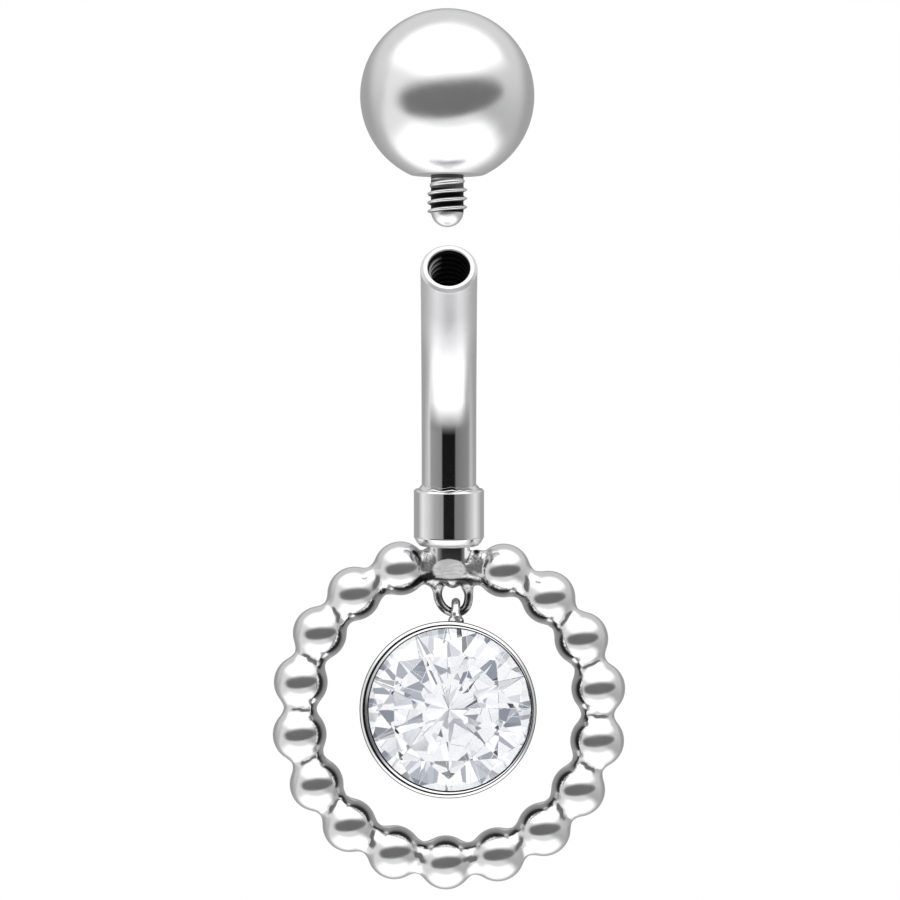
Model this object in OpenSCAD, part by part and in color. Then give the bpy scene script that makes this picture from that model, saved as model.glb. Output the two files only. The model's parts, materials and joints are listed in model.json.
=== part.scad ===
// A navel ring: a curved bar with a screw-on ball, a collar at its foot, a ring of beads
// soldered under the collar, and a round stone in a cup that swings inside that ring.
// Millimetres, +Z up, seen from the front along +Y. The origin is the middle of the bar,
// where the skin would sit. The ball is unscrewed and lies apart above the bar's mouth.

/* [Top ball] */
// Diameter of the ball
ball_d = 5; // [4:0.1:8]
// Width of the flat under the ball
ball_flat_w = 2.1; // [1.6:0.1:3]
// Height of the stud's tip over the middle of the bar's mouth
ball_over = 1.28; // [1:0.02:6]
// How far the ball lies behind the middle of the mouth
ball_back = 2.56; // [1:0.02:4]
// How far the ball lies left of the bar
ball_aside = 0.05; // [0:0.01:0.3]

/* [Threaded stud] */
// Outer diameter of the thread
thread_d = 1.14; // [0.9:0.02:1.3]
// Depth of the thread
thread_depth = 0.07; // [0.03:0.01:0.12]
// Pitch of the thread
thread_pitch = 0.25; // [0.2:0.01:0.35]
// Plain length between the flat and the thread
thread_runout = 0.22; // [0.1:0.02:0.5]
// Length of the stud under the ball
stud_len = 1.5; // [1.2:0.05:2.4]
// Height of the stud's domed tip
dome_h = 0.42; // [0.3:0.02:0.48]
// Length of the stud that is hidden in the ball
stud_hidden = 1.5; // [0.8:0.1:2.5]

/* [Curved bar] */
// Diameter of the bar
bar_d = 1.6; // [1.5:0.05:2]
// Radius of the bend, at the middle of the bar
bend_r = 7.05; // [5:0.05:14]
// Angle that the bar bends through
bend_turn = 55.5; // [30:0.5:75]
// Lean of the bar and collar to the front, out of the plane of the ring
bar_lean = 5; // [0:0.5:15]
// Bevel round the bar's mouth
mouth_bevel = 0.09; // [0.04:0.01:0.15]
// How much thinner the bar's straight ends are turned than its bend
turned_step = 0.004; // [0.002:0.001:0.01]
// Play between the stud's thread and the bore
thread_play = 0.03; // [0.02:0.01:0.08]
// Depth of the bore past the stud's tip
bore_spare = 0.5; // [0.2:0.05:0.8]

/* [Collar] */
// Height of the collar
collar_h = 1.65; // [1.3:0.05:3]
// Wall of the collar round the bar
collar_wall = 0.21; // [0.15:0.01:0.5]
// Depth of the bar's seat in the collar
bar_seat = 1; // [0.6:0.05:1.2]
// Bevel of the collar's lower edge
collar_bevel = 0.12; // [0.04:0.01:0.18]
// Bevel of the collar's upper edge
collar_top_bevel = 0.05; // [0.02:0.01:0.1]
// Height of the weld lip on top of the collar
weld_h = 0.1; // [0.05:0.01:0.2]
// Width of the weld lip
weld_w = 0.05; // [0.03:0.01:0.1]
// Gap between pieces that are fitted into each other
piece_gap = 0.02; // [0.01:0.01:0.05]

/* [Bead ring] */
// Places for beads round the ring; the bridge takes the top one
bead_places = 18; // [14:1:24]
// Diameter of a bead
bead_d = 1.58; // [1.4:0.02:1.8]
// Distance between neighbouring beads, middle to middle
bead_pitch = 1.54; // [1.45:0.01:1.8]
// Diameter of the necks between the beads
neck_d = 0.98; // [0.8:0.02:1.1]
// Turn of the ring in its own plane, clockwise from the front
ring_turn = 1.2; // [0:0.1:4]

/* [Bridge and post] */
// Diameter of the bridge rod
bridge_d = 0.9; // [0.7:0.02:1.1]
// Width of the flat that is ground on the bridge's front
ground_w = 0.95; // [0.6:0.05:1.2]
// Height of the ground flat
ground_h = 0.47; // [0.2:0.01:0.6]
// Diameter of the post between the bridge and the collar
post_d = 1.22; // [0.9:0.02:1.4]
// Height of the collar's underside over the middle of the bridge
collar_stand = 0.72; // [0.6:0.02:1.5]
// Diameter of the largest solder lump
lump_d = 0.66; // [0.4:0.02:0.8]

/* [Hanger loop] */
// Diameter of the loop's wire
loop_wire_d = 0.26; // [0.2:0.01:0.35]
// Width of the loop, middle to middle of its wire
loop_w = 0.93; // [0.8:0.01:1.3]
// Distance from the bridge's middle down to the loop's lowest wire
loop_drop = 1.27; // [1.1:0.01:1.8]
// How far the loop's lowest point lies right of the ring's middle
loop_side = 0.2; // [0:0.01:0.3]
// How much fatter the wire is at the joints between its bends
joint_step = 0.004; // [0.002:0.001:0.01]

/* [Bail] */
// Diameter of the bail's wire
bail_wire_d = 0.26; // [0.2:0.01:0.35]
// Width inside the bail
bail_in = 0.4; // [0.38:0.01:0.6]
// Play between the bail and the loop that it hangs on
bail_play = 0.048; // [0.03:0.002:0.06]
// Gap between the loop's wire and the cup under it
cup_clear = 0.09; // [0.07:0.01:0.3]
// Diameter of the solder at the bail's feet
foot_d = 0.38; // [0.3:0.01:0.42]

/* [Stone] */
// Diameter of the stone
stone_d = 4.86; // [4:0.02:5.4]
// Width of the stone's table, flat to flat
table_w = 3.03; // [2.4:0.01:3.4]
// Angle of the crown's main facets
crown_angle = 34; // [28:1:40]
// Angle of the pavilion's main facets
pavilion_angle = 41; // [38:1:44]
// Height of the girdle
girdle_h = 0.12; // [0.05:0.01:0.2]

/* [Cup] */
// Wall of the cup round the stone's girdle
cup_wall = 0.13; // [0.1:0.01:0.3]
// Gap between the cup and the stone
stone_gap = 0.02; // [0.01:0.01:0.04]
// How far the lip reaches over the stone's edge
lip_w = 0.07; // [0.04:0.01:0.12]
// Height of the lip over the girdle
lip_h = 0.22; // [0.15:0.01:0.3]
// Width of the seat under the stone
seat_w = 0.32; // [0.2:0.01:0.5]
// Bevel of the cup's outer edges
cup_bevel = 0.08; // [0.03:0.01:0.11]
// Depth of the cup in front of the bail
cup_front = 1; // [0.8:0.05:1.4]
// Depth of the cup behind the bail
cup_behind = 1.5; // [0.8:0.05:2]
// How far the cup's middle lies left of the ring's middle
cup_side = 0.03; // [0:0.01:0.1]

/* [Hidden] */
$fn = 64;

// How far a cut runs past the surface that it opens
over_cut = 1;

// The ball and its stud
ball_r = ball_d / 2;
flat_drop = sqrt(pow(ball_r, 2) - pow(ball_flat_w / 2, 2));
root_r = thread_d / 2 - thread_depth;
ridge_sunk = 0.6 * thread_depth;
ridge_sides = 24;

// The corners of the thread's section
// Columns: 0 at the foot or 1 at the crest, place along the pitch
THREAD_CORNERS = [[0, -0.44], [1, -0.12], [1, 0.12], [0, 0.44]];

// The bar: a seat in the collar, a bend, and a straight end that takes the stud
bore_r = thread_d / 2 + thread_play;
bore_depth = stud_len + bore_spare;
end_len = stud_len;
bend_len = bend_r * bend_turn * PI / 180;
end_r = bar_d / 2 - turned_step;
// How far the straight ends run into the bend
end_overlap = 0.1;
bar_mid_turn = (bend_len + end_len) / 2 / bend_r * 180 / PI;

// The collar
collar_bore_r = bar_d / 2 + piece_gap;
collar_r = collar_bore_r + collar_wall;
post_bore_r = post_d / 2 + piece_gap;

// The ring of beads, about the middle of the ring
place_turn = 360 / bead_places;
ring_r = bead_pitch / 2 / sin(place_turn / 2);
bridge_z = ring_r * cos(place_turn);
ground_depth = sqrt(pow(bridge_d / 2, 2) - pow(ground_h / 2, 2));
// The hollow of a neck is this much rounder than one that just touches both beads
neck_ease = 1.25;
neck_least_r = bead_d / 100;

// The arms of the loop, from its lowest point upwards
// Columns: radius of the bend as a share of the loop's width, turn in degrees
LEFT_ARM = [[0.54, 45], [0.65, 45]];
RIGHT_ARM = [[0.39, 75], [0.97, 25]];

// Solder on the bridge
// Columns: place right of, before and above the bridge's middle, diameter, as shares of the lump
LUMPS = [[-0.88, 0.12, 0.45, 0.9], [1.2, 0.25, 0.4, 1]];

joint_r = loop_wire_d / 2 + joint_step;
loop_solder_r = 0.95 * loop_wire_d;

// The drop hangs from the lowest wire of the loop
hinge_z = bridge_z - loop_drop;
cup_r = stone_d / 2 + stone_gap + cup_wall;
cup_offset = loop_side + cup_side;
cup_top = hinge_z - loop_wire_d / 2 - cup_clear;
cup_z = cup_top - sqrt(pow(cup_r, 2) - pow(cup_offset, 2));
bail_r = (bail_in + bail_wire_d) / 2;
bail_z = hinge_z - (bail_in / 2 - loop_wire_d / 2 - bail_play);
bail_sunk = bail_wire_d / 2;
foot_sunk = foot_d / 10;

// The stone and its seat, along the cup's own axis; the girdle's upper edge is at girdle_top
stone_fold = 8;
stone_corner = 180 / stone_fold;
stone_r = stone_d / 2;
table_r = table_w / 2 / cos(stone_corner);
// Where the crown's middle ring of points lies, from the girdle (0) to the table (1)
star_share = 0.45;
// Where the pavilion's lower ring of points lies, from the culet (0) to the girdle (1)
half_share = 0.23;
// The stone's clearance where its faces slant, along the cup's axis
slant_gap = 1.5 * stone_gap;
// How far the lip's inner edge is rounded off
lip_ease_w = 0.6 * lip_w;
lip_ease_h = 0.3 * lip_h;
crown_h = (stone_r - table_r) * tan(crown_angle);
pavilion_h = stone_r * tan(pavilion_angle);
girdle_top = cup_front - lip_h;

// A point given up the leaning bar, forward and up, from the middle of the bridge
function up_the_bar(forward, up) = [
    0,
    -forward * cos(bar_lean) - up * sin(bar_lean),
    bridge_z - forward * sin(bar_lean) + up * cos(bar_lean)
];

// A point on the bar's middle line, this many degrees into the bend
function on_bend(turn) = up_the_bar(
    bend_r * (1 - cos(turn)),
    collar_stand + collar_h + bend_r * sin(turn)
);

bar_mid = on_bend(bar_mid_turn);
mouth_lean = bar_lean + bend_turn;
mouth = on_bend(bend_turn) + end_len * [0, -sin(mouth_lean), cos(mouth_lean)];
ball_place = mouth + [-ball_aside, ball_back, ball_over + stud_len + flat_drop];

// A ball whose surface seam faces backwards
module ball(r) {
    rotate([0, 0, 90]) sphere(r = r);
}

// Puts what is drawn about the middle of the ring into the part's own frame
module placed() {
    translate(-bar_mid) children();
}

// The leaning frame of the bar, with its origin in the middle of the bridge
module up_the_post() {
    translate([0, 0, bridge_z]) rotate([bar_lean, 0, 0]) children();
}

// The ball, cut flat below, with a blind hole for the stud
module top_ball() {
    color("silver") placed() translate(ball_place) difference() {
        intersection() {
            sphere(r = ball_r);
            translate([-ball_r, -ball_r, -flat_drop]) cube([ball_d, ball_d, ball_d]);
        }
        translate([0, 0, -flat_drop - over_cut])
            cylinder(r = root_r + piece_gap, h = over_cut + stud_hidden + piece_gap);
    }
}

// The stud's plain core with its domed tip, from the flat downwards
module stud_core() {
    dome_r = (pow(root_r, 2) + pow(dome_h, 2)) / (2 * dome_h);
    rotate_extrude() {
        translate([0, dome_h - stud_len]) square([root_r, stud_len - dome_h + stud_hidden]);
        intersection() {
            translate([0, dome_r - stud_len]) circle(r = dome_r);
            translate([0, -stud_len]) square([root_r, dome_h]);
        }
    }
}

// One section of the thread: it rises out of the core in half a turn, and sinks back at its end
function thread_section(step, steps) =
    let(
        turn = 360 * step / ridge_sides,
        z = dome_h - stud_len + thread_pitch * (1 / 2 + step / ridge_sides),
        fade = min(1, 2 * step / ridge_sides, 2 * (steps - step) / ridge_sides),
        rise = ridge_sunk / 2 + fade * (ridge_sunk / 2 + thread_depth)
    )
    [for (corner = THREAD_CORNERS)
        let(r = root_r - ridge_sunk + corner[0] * rise)
        [r * cos(turn), r * sin(turn), z + corner[1] * thread_pitch]];

// A right-hand thread ridge round the core
module thread_ridge() {
    threaded = stud_len - dome_h - thread_runout - thread_pitch;
    steps = floor(ridge_sides * threaded / thread_pitch);
    points = [for (s = [0:steps]) each thread_section(s, steps)];
    sides = [for (s = [0:steps - 1], c = [0:3])
        let(a = 4 * s + c, b = 4 * s + (c + 1) % 4)
        each [[a, b, b + 4], [a, b + 4, a + 4]]];
    ends = [[3, 2, 1, 0], [for (c = [0:3]) 4 * steps + c]];
    polyhedron(points, concat(sides, ends), convexity = 6);
}

module ball_stud() {
    color("silver") placed() translate(ball_place - [0, 0, flat_drop]) union() {
        stud_core();
        thread_ridge();
    }
}

// The straight end of the bar, with a bevelled mouth
module bar_end() {
    rotate_extrude() polygon([
        [0, -end_overlap],
        [end_r, -end_overlap],
        [end_r, end_len - mouth_bevel],
        [end_r - mouth_bevel, end_len],
        [0, end_len]
    ]);
}

// The bar, bored from its mouth; its foot stands in the collar
module curved_bar() {
    color("silver") placed() up_the_post() translate([0, 0, collar_stand + collar_h]) difference() {
        union() {
            translate([0, 0, -bar_seat]) cylinder(r = end_r, h = bar_seat + end_overlap);
            translate([0, -bend_r, 0]) rotate([90, 0, 90]) rotate_extrude(angle = bend_turn)
                translate([bend_r, 0]) circle(r = bar_d / 2);
            at_bar_end() bar_end();
        }
        at_bar_end() translate([0, 0, end_len - bore_depth]) cylinder(r = bore_r, h = bore_depth + over_cut);
    }
}

// The frame at the end of the bend, with +Z along the straight end
module at_bar_end() {
    translate([0, -bend_r * (1 - cos(bend_turn)), bend_r * sin(bend_turn)])
        rotate([bend_turn, 0, 0]) children();
}

// The collar, bored from above for the bar and from below for the post
module collar() {
    shoulder = collar_h - bar_seat - piece_gap;
    color("silver") placed() up_the_post() translate([0, 0, collar_stand]) rotate_extrude() polygon([
        [post_bore_r, 0],
        [collar_r - collar_bevel, 0],
        [collar_r, collar_bevel],
        [collar_r, collar_h - collar_top_bevel],
        [collar_r - collar_top_bevel, collar_h],
        [collar_bore_r + weld_w, collar_h],
        [collar_bore_r + weld_w / 2, collar_h + weld_h],
        [collar_bore_r, collar_h + weld_h],
        [collar_bore_r, shoulder],
        [post_bore_r, shoulder]
    ]);
}

// The neck between two beads, drawn along Z about its own middle, hollowed between them
module neck() {
    half = bead_pitch / 2;
    waist = neck_d / 2;
    touching = (pow(half, 2) + pow(waist, 2) - pow(bead_d / 2, 2)) / (bead_d - neck_d);
    hollow_r = neck_ease * max(touching, neck_least_r);
    reach = half * hollow_r / norm([half, waist + hollow_r]);
    rotate_extrude() difference() {
        translate([0, -reach]) square([waist + hollow_r, 2 * reach]);
        translate([waist + hollow_r, 0]) circle(r = hollow_r);
    }
}

// The beads and their necks, from the place right of the bridge round to the one left of it
module beads() {
    for (place = [1:bead_places - 1])
        rotate([0, place * place_turn, 0]) translate([0, 0, ring_r]) ball(bead_d / 2);
    for (place = [1:bead_places - 2])
        rotate([0, (place + 0.5) * place_turn, 0])
            translate([0, 0, ring_r * cos(place_turn / 2)]) rotate([0, 90, 0]) neck();
}

// The rod in place of the missing bead, with a flat ground on its front
module bridge() {
    length = 2 * ring_r * sin(place_turn);
    difference() {
        translate([-length / 2, 0, bridge_z]) rotate([0, 90, 0]) rotate([0, 0, 90])
            cylinder(r = bridge_d / 2, h = length);
        translate([-ground_w / 2, -ground_depth - bridge_d, bridge_z - bridge_d])
            cube([ground_w, bridge_d, 2 * bridge_d]);
    }
}

// The post from the bridge up into the collar, behind the ground flat
module post() {
    top = collar_stand + collar_h - bar_seat - 2 * piece_gap;
    up_the_post() intersection() {
        rotate([0, 0, 90]) cylinder(r = post_d / 2, h = top);
        union() {
            translate([-post_d, -ground_depth, 0]) cube([2 * post_d, 2 * post_d, top]);
            translate([-post_d, -post_d, ground_h / 2]) cube([2 * post_d, 2 * post_d, top]);
        }
    }
}

// Lumps of solder beside the post
module bridge_solder() {
    for (lump = LUMPS)
        translate([lump[0] * lump_d, -lump[1] * lump_d, bridge_z + lump[2] * lump_d])
            ball(lump[3] * lump_d / 2);
}

// Width, height and heading gained along the bends of an arm, from bend i on
function arm_end(arm, i = 0, at = [0, 0, 0]) =
    i == len(arm) ? at : arm_end(arm, i + 1, [
        at[0] + arm[i][0] * loop_w * (sin(at[2] + arm[i][1]) - sin(at[2])),
        at[1] + arm[i][0] * loop_w * (cos(at[2]) - cos(at[2] + arm[i][1])),
        at[2] + arm[i][1]
    ]);

// One arm of the loop, in the XZ plane, from its lowest point towards +X and up to the bridge
module arm(bends) {
    for (i = [0:len(bends) - 1]) {
        start = arm_end([for (k = [0:1:i - 1]) bends[k]]);
        wire_bend_r = bends[i][0] * loop_w;
        trim = joint_step / wire_bend_r * 180 / PI;
        translate([start[0], 0, start[1]]) rotate([0, -start[2], 0]) {
            sphere(r = joint_r);
            translate([0, 0, wire_bend_r]) rotate([0, 90 - trim, 0]) rotate([90, 0, 0])
                rotate_extrude(angle = bends[i][1] - 2 * trim)
                    translate([wire_bend_r, 0]) circle(r = loop_wire_d / 2);
        }
    }
    last = arm_end(bends);
    leg = (loop_drop - last[1]) / sin(last[2]);
    solder_at = (loop_drop - last[1] - bridge_d / 2) / sin(last[2]);
    translate([last[0], 0, last[1]]) rotate([0, 90 - last[2], 0]) {
        sphere(r = joint_r);
        translate([0, 0, joint_step]) cylinder(r = loop_wire_d / 2, h = leg);
        translate([0, 0, solder_at]) sphere(r = loop_solder_r);
    }
}

// The wire loop under the bridge
module hanger_loop() {
    translate([loop_side, 0, hinge_z]) {
        arm(RIGHT_ARM);
        mirror([1, 0, 0]) arm(LEFT_ARM);
    }
}

// Beads, bridge, post and loop are soldered into one piece
module bead_ring() {
    color("silver") placed() {
        rotate([0, ring_turn, 0]) {
            beads();
            bridge();
        }
        post();
        bridge_solder();
        hanger_loop();
    }
}

// The wall of the cup: a lip over the stone's edge, a seat under it and an open back
module cup_wall_ring() {
    lip_r = stone_r - lip_w;
    inner_r = stone_r + stone_gap;
    seat_r = stone_r - seat_w;
    under_lip = girdle_top + lip_w * tan(crown_angle) + slant_gap;
    seat_top = girdle_top - girdle_h - slant_gap;
    rotate_extrude() polygon([
        [cup_r, -cup_behind + cup_bevel],
        [cup_r, cup_front - cup_bevel],
        [cup_r - cup_bevel, cup_front],
        [lip_r + lip_ease_w, cup_front],
        [lip_r, cup_front - lip_ease_h],
        [lip_r, under_lip],
        [inner_r, girdle_top + stone_gap],
        [inner_r, seat_top],
        [seat_r, seat_top - seat_w * tan(pavilion_angle)],
        [seat_r, -cup_behind],
        [cup_r - cup_bevel, -cup_behind]
    ]);
}

// The wire bail on top of the cup, across the loop
module bail() {
    translate([loop_side, 0, bail_z]) rotate([90, 0, 90]) rotate_extrude(angle = 180)
        translate([bail_r, 0]) circle(r = bail_wire_d / 2);
    for (side = [-1, 1]) {
        translate([loop_side, side * bail_r, cup_top - bail_sunk])
            cylinder(r = bail_wire_d / 2, h = bail_z - cup_top + bail_sunk);
        translate([loop_side, side * bail_r, cup_top - foot_sunk]) sphere(r = foot_d / 2);
    }
}

module drop_cup() {
    color("silver") placed() {
        translate([-cup_side, 0, cup_z]) rotate([90, 0, 0]) cup_wall_ring();
        bail();
    }
}

// Points of a ring of the stone: count of them, from angle first, at radius r and height z
function stone_ring(count, first, r, z) =
    [for (i = [0:count - 1]) let(a = first + 360 * i / count) [r * cos(a), r * sin(a), z]];

// A round brilliant, table up, with the upper edge of its girdle at height 0
module brilliant() {
    n = stone_fold;
    star_r = star_share * table_w / 2 + (1 - star_share) * stone_r;
    star_z = crown_h * (stone_r - star_r * cos(stone_corner)) / (stone_r - table_r);
    half_r = half_share * stone_r;
    half_z = -girdle_h - pavilion_h * (1 - half_share * cos(stone_corner));
    points = concat(
        stone_ring(n, stone_corner, table_r, crown_h),
        stone_ring(n, 0, star_r, star_z),
        stone_ring(2 * n, 0, stone_r, 0),
        stone_ring(2 * n, 0, stone_r, -girdle_h),
        stone_ring(n, 0, half_r, half_z),
        [[0, 0, -girdle_h - pavilion_h]]
    );
    table = function(i) (i + n) % n;
    star = function(i) n + (i + n) % n;
    upper = function(i) 2 * n + (i + 2 * n) % (2 * n);
    lower = function(i) 4 * n + (i + 2 * n) % (2 * n);
    half = function(i) 6 * n + (i + n) % n;
    culet = 7 * n;
    crown = [for (i = [0:n - 1]) each [
        [table(i - 1), table(i), star(i)],
        [table(i), star(i + 1), upper(2 * i + 1), star(i)],
        [star(i), upper(2 * i + 1), upper(2 * i)],
        [star(i), upper(2 * i), upper(2 * i - 1)]
    ]];
    girdle = [for (i = [0:2 * n - 1]) [upper(i), upper(i + 1), lower(i + 1), lower(i)]];
    pavilion = [for (i = [0:n - 1]) each [
        [culet, half(i), lower(2 * i + 1), half(i + 1)],
        [half(i), lower(2 * i), lower(2 * i + 1)],
        [half(i), lower(2 * i - 1), lower(2 * i)]
    ]];
    top = [[for (i = [n - 1:-1:0]) table(i)]];
    polyhedron(points, concat(top, crown, girdle, pavilion), convexity = 2);
}

module drop_stone() {
    color("white") placed()
        translate([-cup_side, 0, cup_z]) rotate([90, 0, 0]) translate([0, 0, girdle_top]) brilliant();
}

top_ball();
ball_stud();
curved_bar();
collar();
bead_ring();
drop_cup();
drop_stone();
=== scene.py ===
import json
import math

import bmesh
import bpy
import numpy as np
from mathutils import Matrix, Vector


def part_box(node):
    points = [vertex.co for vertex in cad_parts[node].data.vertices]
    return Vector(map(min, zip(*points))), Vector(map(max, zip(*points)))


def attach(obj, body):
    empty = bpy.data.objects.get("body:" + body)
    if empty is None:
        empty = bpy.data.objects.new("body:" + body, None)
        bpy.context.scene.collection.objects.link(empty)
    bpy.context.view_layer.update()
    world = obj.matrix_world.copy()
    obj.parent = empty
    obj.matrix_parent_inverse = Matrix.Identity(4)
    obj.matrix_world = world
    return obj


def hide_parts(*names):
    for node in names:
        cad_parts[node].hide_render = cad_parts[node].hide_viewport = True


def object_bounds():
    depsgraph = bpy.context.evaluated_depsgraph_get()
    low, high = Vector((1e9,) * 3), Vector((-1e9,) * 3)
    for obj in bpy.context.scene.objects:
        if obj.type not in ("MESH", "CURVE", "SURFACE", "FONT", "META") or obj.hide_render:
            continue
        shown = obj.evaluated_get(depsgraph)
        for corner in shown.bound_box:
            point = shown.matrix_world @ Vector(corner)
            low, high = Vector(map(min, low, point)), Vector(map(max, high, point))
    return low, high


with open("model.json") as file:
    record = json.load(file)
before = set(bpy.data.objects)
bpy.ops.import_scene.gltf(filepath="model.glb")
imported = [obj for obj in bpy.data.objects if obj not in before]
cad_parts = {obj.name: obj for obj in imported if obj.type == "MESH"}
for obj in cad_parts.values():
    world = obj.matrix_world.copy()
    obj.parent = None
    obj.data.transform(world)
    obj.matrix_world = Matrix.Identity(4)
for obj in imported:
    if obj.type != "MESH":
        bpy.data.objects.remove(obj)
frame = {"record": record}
cad_low, cad_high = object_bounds()

# Bead ring
# The real ring is cast in steel in one piece: seventeen beads with a neck between each two. A rod
# takes the place of the eighteenth bead, and the post, solder and wire loop are fused to it.
MM = 0.001
BEAD_PLACES = 18
BEAD_D = 1.58
BEAD_PITCH = 1.54
NECK_D = 0.96
NECK_FILLET = 0.15
BRIDGE_FILLET = 0.1
POST_FILLET = 0.06
LOOP_FILLET = 0.05
NECK_CRINKLE = 0.008
NECK_CRINKLE_SIZE = 0.36
NECK_MIDDLE = 0.16
RING_TURN = math.radians(1.2)
PLACE_TURN = 2 * math.pi / BEAD_PLACES
RING_R = BEAD_PITCH / 2 / math.sin(PLACE_TURN / 2)
BRIDGE_D = 0.9
BRIDGE_Z = RING_R * math.cos(PLACE_TURN)
GROUND_W = 0.95
GROUND_H = 0.47
GROUND_DEPTH = math.sqrt((BRIDGE_D / 2) ** 2 - (GROUND_H / 2) ** 2)
GROUND_CROWN = (BRIDGE_D / 2 - GROUND_DEPTH) / (GROUND_W / 2) ** 2
GROUND_BREAK = 0.04
GROUND_EASE = 0.03
POST_D = 1.22
POST_TOP = 1.33
BAR_LEAN = math.radians(5)
SOLDER_FILLET = 0.16
LUMP_FILLET = 0.08
# Solder lumps: place right of, behind and above the bridge's middle, and radius
SOLDER_LUMPS = [
    [-0.60, -0.14, 0.30, 0.31],
    [-0.62, -0.20, 0.02, 0.24],
    [0.84, -0.20, 0.32, 0.27],
    [0.64, -0.26, 0.12, 0.17],
    [-0.47, -0.12, -0.36, 0.17],
    [0.10, -0.06, -0.38, 0.17],
]
LOOP_WIRE_D = 0.26
LOOP_W = 0.93
LOOP_DROP = 1.27
LOOP_SIDE = 0.2
# The loop's arms, from its lowest point up: radius as a share of the loop's width, turn in degrees
LEFT_ARM = [[0.54, 45], [0.65, 45]]
RIGHT_ARM = [[0.39, 75], [0.97, 25]]
ARM_SOLDER_R = 0.17
ARM_STEPS = 12
# Half the width and height of the lens that shows as ground flat, and a filed spot on the first bead
FLAT_LENS = [0.5, 0.33]
FILED_AT = [-0.74, -0.42, 0.52]
FILED_R = 0.24
SOLDER_GRAIN = 0.016
SOLDER_GRAIN_SIZE = 0.42
SOLDER_SPREAD = 0.07
# Sizes of the patterns in the steel's surface, and how deep it is where it is rough and where it isn't
GRAIN_SIZE = 0.11
CRYSTAL_SIZE = 0.07
SCRATCH_SIZE = 0.035
SCRATCH_SQUEEZE = 0.12
ROUGH_DEPTH = 0.014
SMOOTH_DEPTH = 0.00015
CAST_VOXEL = 0.045
PROJECTION_STEPS = 7
SLOPE_STEP = 0.0005


def place_of_bead(place):
    """Middle of a bead about the middle of the ring, counted clockwise from the bridge."""
    turn = place * PLACE_TURN + RING_TURN
    return np.array([RING_R * math.sin(turn), 0, RING_R * math.cos(turn)])


bead_middles = [place_of_bead(place) for place in range(BEAD_PLACES)]
ring_low, ring_high = (np.array(corner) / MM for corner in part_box("bead_ring"))
ring_middle = np.array([
    ring_high[0] - BEAD_D / 2 - max(middle[0] for middle in bead_middles),
    (ring_low[1] + ring_high[1]) / 2,
    ring_low[2] + BEAD_D / 2 - min(middle[2] for middle in bead_middles),
])
bridge_middle = np.array([0, 0, BRIDGE_Z])
post_axis = np.array([0, -math.sin(BAR_LEAN), math.cos(BAR_LEAN)])


def held(numbers):
    """Numbers held between 0 and 1."""
    return np.clip(numbers, 0, 1)


def joined(a, b, fillet):
    """Distance to two forms that are fused with a fillet."""
    overlap = np.maximum(fillet - np.abs(a - b), 0) / fillet
    return np.minimum(a, b) - overlap * overlap * fillet / 4


def cut_by(a, b, fillet):
    """Distance to form a where form b is taken away from it."""
    return -joined(-a, b, fillet)


def from_ball(points, middle, radius):
    """Distance to a ball."""
    return np.linalg.norm(points - middle, axis=1) - radius


def from_rod(points, start, end, radius):
    """Distance to a round rod with round ends."""
    along = end - start
    share = held((points - start) @ along / (along @ along))
    return np.linalg.norm(points - start - share[:, None] * along, axis=1) - radius


def from_wire(points, path, radius):
    """Distance to a wire along a path of points."""
    rods = [from_rod(points, start, end, radius) for start, end in zip(path[:-1], path[1:])]
    return np.minimum.reduce(rods)


def lumpiness(points, size):
    """A smooth, fixed unevenness between about -1 and 1."""
    waves = np.array([[1.0, 0.3, -0.5], [-0.4, 1.1, 0.6], [0.7, -0.8, 1.0], [-1.2, -0.5, 0.9]])
    return np.sin(points @ (waves / size).T * 2 * math.pi + np.arange(4)).sum(1) / 3


def arm_path(arm, side):
    """Points along an arm of the loop, up to the bridge, about the middle of the ring."""
    x = z = heading = 0.0
    path = [(x, z)]
    for share, turn in arm:
        for _ in range(ARM_STEPS):
            bend = math.radians(turn) / ARM_STEPS
            chord = 2 * share * LOOP_W * math.sin(bend / 2)
            x += chord * math.cos(heading + bend / 2)
            z += chord * math.sin(heading + bend / 2)
            heading += bend
            path.append((x, z))
    rise = LOOP_DROP - z
    path.append((x + rise / math.tan(heading), LOOP_DROP))
    return np.array([[LOOP_SIDE + side * px, 0, BRIDGE_Z - LOOP_DROP + pz] for px, pz in path])


left_arm = arm_path(LEFT_ARM, -1)
right_arm = arm_path(RIGHT_ARM, 1)


def foot_of_arm(path):
    """The point of an arm's last stretch that lies in the bridge's underside."""
    start, end = path[-2], path[-1]
    return start + (end - start) * (BRIDGE_Z - BRIDGE_D / 2 - start[2]) / (end[2] - start[2])


solder_balls = [(bridge_middle + lump[:3], lump[3]) for lump in SOLDER_LUMPS]
solder_balls += [(foot_of_arm(path), ARM_SOLDER_R) for path in (left_arm, right_arm)]


def soldered(distance, points, balls, fillet):
    """Distance to a form that balls of solder are fused to with a fillet."""
    for middle, radius in balls:
        distance = joined(distance, from_ball(points, middle, radius), fillet)
    return distance


def from_solder(points):
    """Distance to the lumps of solder on the bridge and at the loop's two ends."""
    lumps = soldered(np.full(len(points), np.inf), points, solder_balls, LUMP_FILLET)
    return lumps + SOLDER_GRAIN * lumpiness(points, SOLDER_GRAIN_SIZE)


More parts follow.
